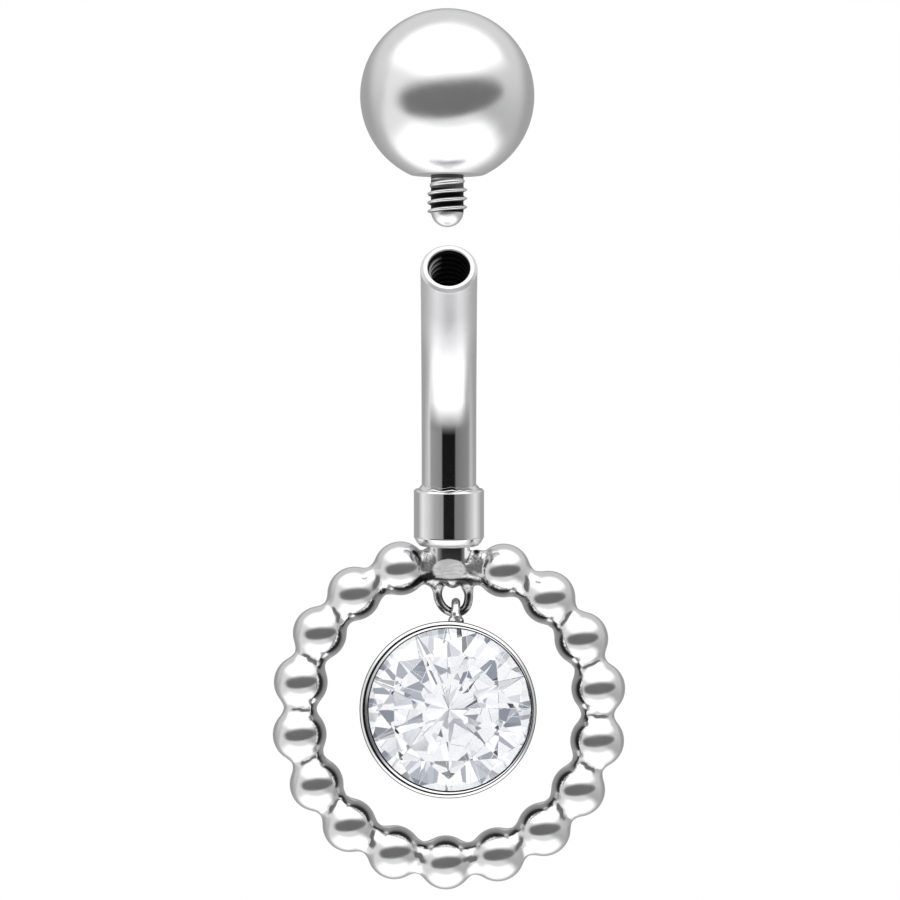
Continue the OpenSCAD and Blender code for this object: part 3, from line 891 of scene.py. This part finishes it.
ease, ease_normals = arc(ease_at, FLAT_EASE, -math.pi / 2, ease_to, 7)
dome, dome_normals = arc(np.zeros(2), BALL_R, ease_to, math.pi / 2, 150)
dome[-1, 0] = 0
flat_rows = np.stack([np.linspace(0, ease_at[0], 12)[:-1], np.full(11, -FLAT_DROP)], 1)
ball_outline = np.concatenate([flat_rows, ease, dome[1:]])
ball_slopes = np.concatenate([np.tile([0.0, -1.0], (11, 1)), ease_normals, dome_normals[1:]])
points, faces, normals = turned(ball_outline, ball_slopes, 288, closed=False)
ball_steel = polished_steel("ball_steel", (0.86, 0.86, 0.87), 0.2, haze_size=1.4, mark_depth=0.0001)
ball_form = (points + ball_middle, faces, normals)
ball = finished_piece("top_ball_polished", ball_form, ball_steel, "ball", "top_ball", {})
ball.visible_glossy = False

# Stud
# The real stud is steel rod with a rolled M1.2 x 0.25 thread and a domed tip, pressed into the ball.
# Next to the ball the thread runs out shallow and fine, and it starts with a thick turn at the dome.
CORE_R = 0.47
CREST_R = 0.57
STUD_LEN = 1.5
DOME_H = 0.42
THREAD_FROM = -1.10
THREAD_TO = -0.40
FINE_TO = -0.12
FINE_SHARE = 0.35
STUD_ROWS = 120
tip_r = (CORE_R ** 2 + DOME_H ** 2) / (2 * DOME_H)
tip_to = math.asin(CORE_R / tip_r) - math.pi / 2
tip, tip_normals = arc([0, tip_r - STUD_LEN], tip_r, -math.pi / 2, tip_to, 28)
core_rows = np.linspace(DOME_H - STUD_LEN + 0.01, 0.06, STUD_ROWS)
core = np.stack([np.full(STUD_ROWS, CORE_R), core_rows], 1)
stud_outline = np.concatenate([tip, core, [[0.0, 0.08]]])
stud_slopes = np.concatenate([tip_normals, np.tile([1.0, 0.0], (STUD_ROWS, 1)), [[0.0, 1.0]]])
points, faces, normals = turned(stud_outline, stud_slopes, 144, closed=False)
height = points[:, 2]
full = held((height - THREAD_FROM) / 0.03) * held((THREAD_TO - height) / 0.1 + 1)
fine = FINE_SHARE * (height > THREAD_TO - 0.02) * held((FINE_TO - height) / 0.05)
share = np.maximum(full, fine) * (np.hypot(points[:, 0], points[:, 1]) > CORE_R - 0.01)
stud_steel = polished_steel("thread_steel", (0.84, 0.84, 0.85), 0.26, haze_size=0.3, mark_depth=0.0004)
# Painted shade: the thread's valleys are made nearly black
treated(stud_steel, "painted_thread_shade", grey(0.006), 0.5)
stud_cut = {"Pitch": THREAD_PITCH, "Depth": CREST_R - CORE_R, "Crest": 0.38, "Start": -0.05}
points, normals = with_thread(points, faces, normals, share, stud_cut, stud_steel)
crest = (np.hypot(points[:, 0], points[:, 1]) - CORE_R) / (CREST_R - CORE_R)
painted_thread_shade = full * held(2.3 - 2.7 * crest)
painted_thread_shade = np.maximum(painted_thread_shade, fine / FINE_SHARE * np.clip(1.1 - 4 * crest, 0, 0.85))
# Painted shadow: a dark band at the top of the stud, under the ball's flat
painted_thread_shade = np.maximum(painted_thread_shade, 0.9 * held((points[:, 2] + 0.14) / 0.04))
stud_form = (points + ball_middle - [0, 0, FLAT_DROP], faces, normals)
stud = finished_piece(
    "ball_stud_thread", stud_form, stud_steel, "ball", "ball_stud", {"painted_thread_shade": painted_thread_shade},
)
stud.visible_glossy = False

# Cup
# The real cup is a turned steel ring with an open back. Its front edge is bevelled outside and
# rolled in over the stone's edge, a little more on one side than on the other.
joints = {joint["name"]: joint for joint in frame["record"]["behaviour"]["joints"]}
HINGE = np.array(joints["drop_swing"]["pos_m"]) / MM
CUP_R = 2.58
CUP_FRONT = 1.0
CUP_BEHIND = 1.5
CUP_BEVEL = 0.08
GROOVE_R = [2.446, 2.476]
GROOVE_DEPTH = 0.05
LIP_TOP_R = 2.405
LIP_R = 2.365
LIP_SHIFT = 0.026
GROOVE_SHIFT = 0.024
CUP_TAPER = 0.15
RIM_BACK = CUP_FRONT - 0.09
STONE_R = 2.43
SEAT_R = 2.11
GIRDLE_TOP = 0.78
GIRDLE_H = 0.12
cup_low, cup_high = (np.array(corner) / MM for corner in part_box("drop_cup"))
cup_middle = np.array([(cup_low[0] + cup_high[0]) / 2, HINGE[1], cup_low[2] + CUP_R])


def facing_front(points):
    """Turns what is drawn along Z to face the front, with its own Y upwards."""
    return np.stack([points[:, 0], -points[:, 2], points[:, 1]], 1)


cup_outline, cup_slopes = rounded_outline([
    [SEAT_R, -CUP_BEHIND, 0.03],
    [CUP_R - CUP_TAPER - CUP_BEVEL, -CUP_BEHIND, 0.03],
    [CUP_R - CUP_TAPER, CUP_BEVEL - CUP_BEHIND, 0.03],
    [CUP_R - 0.02 * CUP_TAPER, RIM_BACK - 0.02 * (RIM_BACK - CUP_BEVEL + CUP_BEHIND), 0],
    [CUP_R, RIM_BACK, 0.002],
    [CUP_R - 0.024, CUP_FRONT - 0.058, 0.002],
    [CUP_R - 0.032, CUP_FRONT - 0.052, 0.002],
    [GROOVE_R[1] + 0.012, CUP_FRONT, 0.006],
    [GROOVE_R[1], CUP_FRONT - GROOVE_DEPTH, 0.002],
    [GROOVE_R[0], CUP_FRONT - GROOVE_DEPTH, 0.002],
    [GROOVE_R[0] - 0.002, CUP_FRONT - 0.004, 0.001],
    [LIP_TOP_R, CUP_FRONT - 0.024, 0.001],
    [LIP_TOP_R - 0.005, CUP_FRONT - 0.034, 0.001],
    [LIP_R, CUP_FRONT - 0.1, 0.004],
    [LIP_R, GIRDLE_TOP + 0.09, 0.01],
    [STONE_R + 0.02, GIRDLE_TOP + 0.03, 0.01],
    [STONE_R + 0.02, GIRDLE_TOP - GIRDLE_H - 0.03, 0.01],
    [SEAT_R, GIRDLE_TOP - GIRDLE_H - 0.31, 0.03],
])
points, faces, normals = turned(cup_outline, cup_slopes, 320)
radius = np.hypot(points[:, 0], points[:, 1])
# Painted shade: the groove, the lip's inner wall above the stone and a thin line round the outer edge are
# made dark
painted_rim_shade = (np.abs(radius - sum(GROOVE_R) / 2) < 0.0165) & (points[:, 2] > CUP_FRONT - 0.08)
painted_rim_shade &= points[:, 2] < CUP_FRONT - 0.008
painted_rim_shade |= (radius < LIP_TOP_R - 0.003) & (points[:, 2] > GIRDLE_TOP + 0.02)
outline = (radius > CUP_R - 0.027) & (points[:, 2] > RIM_BACK - 0.01)
painted_rim_shade = np.maximum(painted_rim_shade, 0.8 * outline)
at_front = points[:, 2] > GIRDLE_TOP + 0.05
points[:, 0] += GROOVE_SHIFT * at_front * held((GROOVE_R[1] - radius) / 0.03)
points[:, 0] += LIP_SHIFT * at_front * held((GROOVE_R[0] - 0.004 - radius) / 0.03)
cup_steel = polished_steel("cup_steel", (0.84, 0.84, 0.85), 0.1)
treated(cup_steel, "rim_shade", grey(0.03), 0.4)
cup_form = (facing_front(points) + cup_middle, faces, facing_front(normals))
finished_piece(
    "drop_cup_turned", cup_form, cup_steel, "drop", "drop_cup", {"rim_shade": painted_rim_shade},
)

# Bail
# The real bail is a short piece of steel wire bent over the ring's loop, and both its feet are
# soldered to the top of the cup, one in front and one behind.
BAIL_WIRE_R = 0.13
BAIL_R = 0.33
BAIL_Z = HINGE[2] - 0.022
BAIL_VOXEL = 0.02
BAIL_FILLET = 0.06
foot_z = cup_middle[2] + math.sqrt(CUP_R ** 2 - (HINGE[0] - cup_middle[0]) ** 2) - 0.02
bail_feet = [np.array([HINGE[0], HINGE[1] + side * BAIL_R, foot_z]) for side in (-1, 1)]
bail_steel = polished_steel("bail_steel", (0.86, 0.86, 0.87), 0.12, haze_size=0.15, mark_depth=0.0008)
# Solder on and beside the feet: place right of, behind and above the foot, and radius
BAIL_SOLDER = [
    [0.0, 0.0, 0.0, 0.19],
    [-0.12, -0.03, 0.0, 0.1],
    [0.13, -0.02, -0.01, 0.11],
    [0.02, -0.06, 0.14, 0.12],
    [-0.04, -0.04, 0.25, 0.1],
]
bail_path = [bail_feet[0]]
for turn in np.linspace(math.pi, 0, 25):
    bail_path.append([HINGE[0], HINGE[1] + BAIL_R * math.cos(turn), BAIL_Z + BAIL_R * math.sin(turn)])
bail_path = np.array(bail_path + [bail_feet[1]])
bail_solder = [
    (foot + [right, side * behind, above], radius)
    for foot, side in zip(bail_feet, (1, -1)) for right, behind, above, radius in BAIL_SOLDER
]


def from_bail(points):
    """Distance to the bail with its soldered feet, in the part's own frame."""
    whole = soldered(from_wire(points, bail_path, BAIL_WIRE_R), points, bail_solder, BAIL_FILLET)
    return whole + 0.008 * lumpiness(points, 0.3) * held((BAIL_Z + 0.05 - points[:, 2]) / 0.1)


blank = bmesh.new()
add_wire(blank, bail_path, BAIL_WIRE_R)
for middle, radius in bail_solder:
    add_blob(blank, middle, radius)
surface, faces, normals = cast_form(blank, from_bail, BAIL_VOXEL)
# Painted shade: the bail is made dark where its surface faces sideways or up
edgewise = np.hypot(normals[:, 0], np.maximum(normals[:, 2], 0))
painted_edge_shade = 0.75 * held((edgewise - 0.8) / 0.12)
treated(bail_steel, "painted_shade", grey(0.03), 0.3)
bail_form = (surface, faces, normals)
finished_piece("drop_bail", bail_form, bail_steel, "drop", "drop_cup", {"painted_shade": painted_edge_shade})

# Stone
# The real stone is a colourless round brilliant, ground and polished from cubic zirconia, with an
# eight-sided table. The cup holds it by its edge, and its point reaches back through the open cup.
STONE_FOLD = 8
TABLE_W = 3.03
CROWN_TOP = 0.533
PAVILION_H = 2.112
STAR_SHARE = 0.45
HALF_SHARE = 0.23
FACET_EDGE = 0.008
STONE_TURN = math.radians(0.8)
TABLE_SHIFT = np.array([-0.045, 0.05])


def stone_ring(count, first, radius, height):
    """Points of a ring of the stone, with its own Z towards the front."""
    turns = first + np.arange(count) * 2 * math.pi / count + STONE_TURN
    return np.stack([radius * np.cos(turns), radius * np.sin(turns), np.full(count, height)], 1)


corner = math.pi / STONE_FOLD
table_r = TABLE_W / 2 / math.cos(corner)
star_r = STAR_SHARE * TABLE_W / 2 + (1 - STAR_SHARE) * STONE_R
star_z = CROWN_TOP * (STONE_R - star_r * math.cos(corner)) / (STONE_R - table_r)
half_r = HALF_SHARE * STONE_R
half_z = -GIRDLE_H - PAVILION_H * (1 - HALF_SHARE * math.cos(corner))
table_ring = stone_ring(STONE_FOLD, corner, table_r, CROWN_TOP)
table_ring[:, :2] += TABLE_SHIFT
points = np.concatenate([
    table_ring,
    stone_ring(STONE_FOLD, 0, star_r, star_z),
    stone_ring(2 * STONE_FOLD, 0, STONE_R, 0),
    stone_ring(2 * STONE_FOLD, 0, STONE_R, -GIRDLE_H),
    stone_ring(STONE_FOLD, 0, half_r, half_z),
    [[0.02, -0.05, -GIRDLE_H - PAVILION_H]],
])
# Where the points of the girdle's two edges and of the lower facets' ends start, and how many an edge has
upper = 2 * STONE_FOLD
lower = 4 * STONE_FOLD
half = 6 * STONE_FOLD
edge = 2 * STONE_FOLD
faces = [tuple(range(STONE_FOLD))]
for i in range(STONE_FOLD):
    before = (i - 1) % STONE_FOLD
    after = (i + 1) % STONE_FOLD
    star = STONE_FOLD + i
    star_after = STONE_FOLD + after
    faces.append((before, star, i))
    faces.append((i, star, upper + 2 * i + 1, star_after))
    faces.append((star, upper + 2 * i, upper + 2 * i + 1))
    faces.append((star, upper + (2 * i - 1) % edge, upper + 2 * i))
    for j in (2 * i, 2 * i + 1):
        faces.append((upper + j, lower + j, lower + (j + 1) % edge, upper + (j + 1) % edge))
    faces.append((7 * STONE_FOLD, half + after, lower + 2 * i + 1, half + i))
    faces.append((half + i, lower + 2 * i + 1, lower + 2 * i))
    faces.append((half + i, lower + 2 * i, lower + (2 * i - 1) % edge))

clear_stone, tree, shader = new_material("clear_stone")
shader["Transmission Weight"].default_value = 1
shader["IOR"].default_value = 2.15
marks = add_marks(tree, 1.5, 0.05, 1.0)
tint = mixed(tree, marks["Haze"], (0.94, 0.96, 1.0, 1), (1.0, 1.0, 1.0, 1), "RGBA")
tree.links.new(tint, shader["Base Color"])
tree.links.new(ranged(tree, marks["Marks"], 0.3, 0.7, 0.0, 0.012), shader["Roughness"])

stone_at = facing_front(points + [0, 0, GIRDLE_TOP]) + cup_middle
mesh = mesh_of("drop_stone_cut", stone_at, faces, clear_stone, {})
cut = bmesh.new()
cut.from_mesh(mesh)
bmesh.ops.bevel(cut, geom=cut.edges[:], offset=FACET_EDGE * MM, segments=1, affect="EDGES", profile=0.5)
bmesh.ops.recalc_face_normals(cut, faces=cut.faces)
cut.to_mesh(mesh)
cut.free()
stone = in_scene("drop_stone_cut", mesh)
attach(stone, "drop")
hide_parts("drop_stone")

# Studio
# A pale floor far under the piece, wide white panels above and below, a grey gap between them in
# front, where the camera stands, and glowing cards and strips close to the steel as painted reflections.
# Only reflections see the cards. The camera looks level, from half the height of the piece.
CAMERA_AT = (0.029, -110.26, -2.663)
CAMERA_LENS = 152.6
FLOOR_DROP = 45.0
FLOOR_R = 250.0
SLOT_AWAY = 80.0
SLOT_W = 900.0
SLOT_H = 190.0
SLOT_GREY = 0.18
SLOT_MIDDLE = [0.04, 0.055]
SLOT_REACH = [0.96, 0.72]
CARD_GAP = 0.08
CARD_SPREAD = 1.15
# Strips of light and shade close to the steel: degrees from the front, and tone
BAR_STRIPS = [[-40, 0.36], [-16, 0.27], [-13, 0.01], [11.5, 0.01], [15, 0.20], [44, 0.30]]
COLLAR_STRIPS = [
    [-62, 0.35], [-48, 0.95], [-34, 0.70], [-24, 0.45], [-10, 0.33], [-8, 0.01],
    [8, 0.01], [10, 0.22], [24, 0.26], [34, 0.50], [48, 0.90], [64, 0.45],
]
POST_STRIPS = [
    [-30, 0.30], [-24, 0.16], [-17, 0.02], [33, 0.02], [47, 0.30], [50, 1.2], [62, 1.2], [66, 0.1], [70, 1],
]
STRIP_COLUMNS = 121
VEIL_TONE = 0.28
INNER_CARD_R = 2.76
# Rows of the card inside the ring of beads, which paints dark reflections on the beads' inner sides: place
# behind its middle, tone and cover
INNER_CARD = [
    [-0.66, 0.02, 0], [-0.50, 0.02, 1], [-0.18, 0.02, 1], [0.10, 0.20, 1], [0.50, 0.34, 1], [1.45, 0.34, 1],
]
INNER_COLUMNS = 172
INNER_FROM = 9
ROOM_TILT = math.radians(6.5)
ROOM_GREY = 0.53
LEFT_GREY = 0.90
BEHIND_GREY = 0.40
TOP_BACK_GREY = 0.74
UNDER_GREY = 0.95
TOP_WHITE = 1.55
PATCH_SCALE = 2.9
FLECK_SCALE = 9.0
BOTTOM_WHITE = 1.5
LAMP_AT = (30.0, -50.0, 200.0)
LAMP_W = 250.0
LAMP_WATTS = 0.15

world = bpy.data.worlds.new("studio")
bpy.context.scene.world = world
world.use_nodes = True
tree = world.node_tree
tree.nodes.clear()
level = add_node(tree, "ShaderNodeTexCoord").outputs["Generated"]
parts = add_node(tree, "ShaderNodeSeparateXYZ", [level]).outputs
folded = combined(tree, maths(tree, "ABSOLUTE", parts[0]), parts[1], parts[2])


def turned_room(tree, direction):
    """A direction in the room, turned with the small tilt of its panels."""
    return result(tree, "ShaderNodeVectorRotate", [direction, None, ROOM_TILT], rotation_type="Y_AXIS")


def side_of(tree, direction, plane, softness):
    """1 on the side of a plane through the room's middle that its normal points to, 0 on the other."""
    distance = vectors(tree, "DOT_PRODUCT", direction, plane)
    return ranged(tree, distance, -softness, softness, interpolation_type="SMOOTHSTEP")


def all_of(tree, *masks):
    """The product of several masks, each given as a direction, a plane and its softness."""
    sides = [side_of(tree, *mask) for mask in masks]
    product = sides[0]
    for side in sides[1:]:
        product = maths(tree, "MULTIPLY", product, side)
    return product


def above(angle):
    """Normal of the plane that parts what lies above an angle, measured up from the camera."""
    return (0, math.sin(math.radians(angle)), math.cos(math.radians(angle)))


def below(angle):
    """Normal of the plane that parts what lies below an angle, measured up from the camera."""
    return tuple(-part for part in above(angle))


def within(angle, up):
    """Normal of the plane that parts what lies within an angle aside of straight up or down."""
    return (-math.cos(math.radians(angle)), 0, up * math.sin(math.radians(angle)))


tilted = turned_room(tree, level)
tone = mixed(tree, side_of(tree, level, (0, 0, 1), 0.5), ROOM_GREY, TOP_BACK_GREY)
panels = [
    (BEHIND_GREY, (folded, (-0.5, 0.866, 0), 0.25), (level, above(152), 0.2), (level, below(208), 0.2)),
    (LEFT_GREY, (level, (-0.5, -0.866, 0), 0.06), (level, (0, -1, 0), 0.06), (level, (-1, 0, 0), 0.1)),
    (LEFT_GREY, (level, (-1, 0, 0), 0.15), (level, (0, -0.78, -0.62), 0.15), (level, below(-10), 0.2)),
    (UNDER_GREY, (tilted, below(-15), 0.1), (level, (0, -1, 0), 0.1), (folded, within(56, -1), 0.22)),
    (BOTTOM_WHITE, (level, below(-48), 0.12), (level, above(-125), 0.3), (folded, within(50, -1), 0.2)),
    (TOP_WHITE, (tilted, above(3), 0.1), (level, below(103), 0.2), (folded, within(57, 1), 0.22)),
]
for panel_tone, *masks in panels:
    tone = mixed(tree, all_of(tree, *masks), tone, panel_tone)
# What is seen through the stone: white all round, with a few soft blue-grey patches
patches = ranged(tree, noise(tree, level, PATCH_SCALE, 1.0, 0.5), 0.40, 0.50)
flecks = ranged(tree, noise(tree, level, FLECK_SCALE, 1.0, 0.5), 0.30, 0.36, 1.0, 0.0)
blue_room = mixed(tree, patches, (0.33, 0.36, 0.42, 1), (1.22, 1.225, 1.24, 1), "RGBA")
blue_room = mixed(tree, flecks, blue_room, (0.10, 0.10, 0.12, 1), "RGBA")
ray = add_node(tree, "ShaderNodeLightPath").outputs
tone = mixed(tree, ray["Is Transmission Ray"], tone, blue_room, "RGBA")
tone = mixed(tree, ray["Is Camera Ray"], tone, (1, 1, 1, 1), "RGBA")
background = result(tree, "ShaderNodeBackground", [tone])
tree.links.new(background, add_node(tree, "ShaderNodeOutputWorld").inputs[0])

lamp = in_scene("soft_light", bpy.data.lights.new("soft_light", "AREA"))
lamp.data.size = LAMP_W * MM
lamp.data.energy = LAMP_WATTS
lamp.location = tuple(part * MM for part in LAMP_AT)
lamp.rotation_euler = (math.radians(14), math.radians(8), 0)
lamp.visible_glossy = False
lamp.visible_transmission = False

floor_form = bmesh.new()
bmesh.ops.create_circle(floor_form, cap_ends=True, segments=128, radius=FLOOR_R * MM)
bmesh.ops.translate(floor_form, vec=(0, 0, cad_low[2] - FLOOR_DROP * MM), verts=floor_form.verts)
floor_mesh = bpy.data.meshes.new("floor")
floor_form.to_mesh(floor_mesh)
floor_form.free()
floor_paper, tree, shader = new_material("floor_paper")
shader["Roughness"].default_value = 0.9
fibres = noise(tree, object_place(tree), 400.0, 3.0, 0.6)
tree.links.new(mixed(tree, fibres, grey(0.80), grey(0.84), "RGBA"), shader["Base Color"])
floor_mesh.materials.append(floor_paper)
floor = in_scene("floor", floor_mesh)
floor.visible_glossy = False
floor.visible_transmission = False


def studio_card(name, points, faces, material, values):
    """A card or strip light that only the steel's reflections see."""
    card = in_scene(name, mesh_of(name, points, faces, material, values))
    card.visible_camera = False
    card.visible_diffuse = False
    card.visible_shadow = False
    card.visible_transmission = False


def card_material(name):
    """An empty material for a glowing card, which isn't sampled as a lamp, and its tree."""
    material, tree, _ = new_material(name)
    material.cycles.emission_sampling = "NONE"
    tree.nodes.clear()
    return material, tree


def lay_card(tree, tone, cover):
    """Ends a card's tree: it glows with a tone where its cover says, and is clear elsewhere."""
    glow = result(tree, "ShaderNodeEmission", [tone])
    clear = result(tree, "ShaderNodeBsdfTransparent")
    card = result(tree, "ShaderNodeMixShader", [cover, clear, glow])
    tree.links.new(card, add_node(tree, "ShaderNodeOutputMaterial").inputs[0])


# The dark gap between the panels, in front, where the camera stands
slot_paper, tree = card_material("slot_paper")
slot_at = np.array([0, ring_middle[1] - SLOT_AWAY, ring_middle[2]])
place = object_place(tree)
level = vectors(tree, "NORMALIZE", vectors(tree, "SUBTRACT", place, tuple(ring_middle * MM)))
tilted = turned_room(tree, level)
off_middle = vectors(tree, "SUBTRACT", tilted, (SLOT_MIDDLE[0], 0, SLOT_MIDDLE[1]))
squeezed = vectors(tree, "MULTIPLY", off_middle, (1 / SLOT_REACH[0], 0, 1 / SLOT_REACH[1]))
ends = vectors(tree, "LENGTH", squeezed)
ends = ranged(tree, ends, 1.09, 0.91, interpolation_type="SMOOTHSTEP")
slot = side_of(tree, tilted, below(29.5), 0.17)
slot = maths(tree, "MULTIPLY", ends, slot)
slot = maths(tree, "MULTIPLY", slot, side_of(tree, tilted, above(-23.5), 0.08))
lay_card(tree, grey(SLOT_GREY), slot)
corners = ((-1, -1), (1, -1), (1, 1), (-1, 1))
slot_points = [slot_at + [x * SLOT_W / 2, 0, z * SLOT_H / 2] for x, z in corners]
studio_card("slot_card", slot_points, [(0, 1, 2, 3)], slot_paper, {})

# Painted reflections: glowing strips of shade and highlight close to the bar, collar and post, and the card
# inside the ring
reflection_strip_glow, tree = card_material("reflection_strip_glow")
lay_card(tree, stored(tree, "tone"), stored(tree, "cover"))


def strip_card(name, points, tones, covers):
    """A glowing card on rows of points, with a tone and a cover at each point."""
    rows, columns = points.shape[:2]
    corners = (0, 1, columns + 1, columns)
    faces = [
        tuple(row * columns + column + corner for corner in corners)
        for row in range(rows - 1) for column in range(columns - 1)
    ]
    values = {"tone": tones.ravel(), "cover": covers.ravel()}
    studio_card(name, points.reshape(-1, 3), faces, reflection_strip_glow, values)


def strips_round(name, radius, rows, strips, ease, place):
    """Half a sleeve of glowing strips in front of a round part, which paints its reflections; each row has
    a height, cover and grey veil.
    """
    degrees = np.linspace(strips[0][0] - ease, strips[-1][0] + ease, STRIP_COLUMNS)
    tones = np.interp(degrees, [strip[0] for strip in strips], [strip[1] for strip in strips])
    edges = held((degrees - degrees[0]) / ease) * held((degrees[-1] - degrees) / ease)
    spread = 1 + CARD_SPREAD * CARD_GAP / radius
    across = np.clip(spread * np.radians(degrees), -math.pi / 2, math.pi / 2)
    wall = radius + CARD_GAP
    heights, covers, veils = np.array(rows, float).T[:, :, None]
    points = np.stack(np.broadcast_arrays(wall * np.sin(across), -wall * np.cos(across), heights), 2)
    placed = place(points.reshape(-1, 3)).reshape(points.shape)
    strip_card(name, placed, tones + veils * (VEIL_TONE - tones), edges * covers)


def beside_bar(points):
    """Places what is drawn from the collar's top up along the bent bar."""
    return from_bridge(bent(points, points)[0] + [0, 0, COLLAR_STAND + COLLAR_H])


bar_rows = [
    [height, 1 - held((height - 2.1) / 0.85), held((height - 1.9) / 0.35)]
    for height in np.linspace(0.0, 2.95, 31)
]
strips_round("bar_strips", BAR_R, bar_rows, BAR_STRIPS, 8, beside_bar)
collar_rows = [[COLLAR_STAND + COLLAR_BEVEL + 0.03, 1, 0], [COLLAR_STAND + COLLAR_H - 0.03, 1, 0]]
strips_round("collar_strips", COLLAR_R, collar_rows, COLLAR_STRIPS, 4, from_bridge)
post_rows = [[GROUND_H / 2 + 0.05, 1, 0.1], [COLLAR_STAND - 0.02, 1, 0]]
strips_round("post_strips", POST_D / 2, post_rows, POST_STRIPS, 4, from_bridge)

inner_turns = np.radians(np.linspace(INNER_FROM, 360 - INNER_FROM, INNER_COLUMNS))
across = INNER_CARD_R * np.sin(inner_turns)
up = INNER_CARD_R * np.cos(inner_turns)
behind, tones, covers = np.repeat(np.array(INNER_CARD, float).T[:, :, None], INNER_COLUMNS, 2)
inner_points = np.stack(np.broadcast_arrays(across, behind, up), 2) + ring_middle
strip_card("inner_card", inner_points, tones, covers)

camera = in_scene("camera", bpy.data.cameras.new("camera"))
camera.location = tuple(part * MM for part in CAMERA_AT)
camera.rotation_euler = (math.pi / 2, 0, 0)
camera.data.lens = CAMERA_LENS
camera.data.sensor_width = 36
camera.data.clip_start = 0.001
camera.data.clip_end = 10
bpy.context.scene.camera = camera
bpy.context.scene.view_settings.view_transform = "Standard"
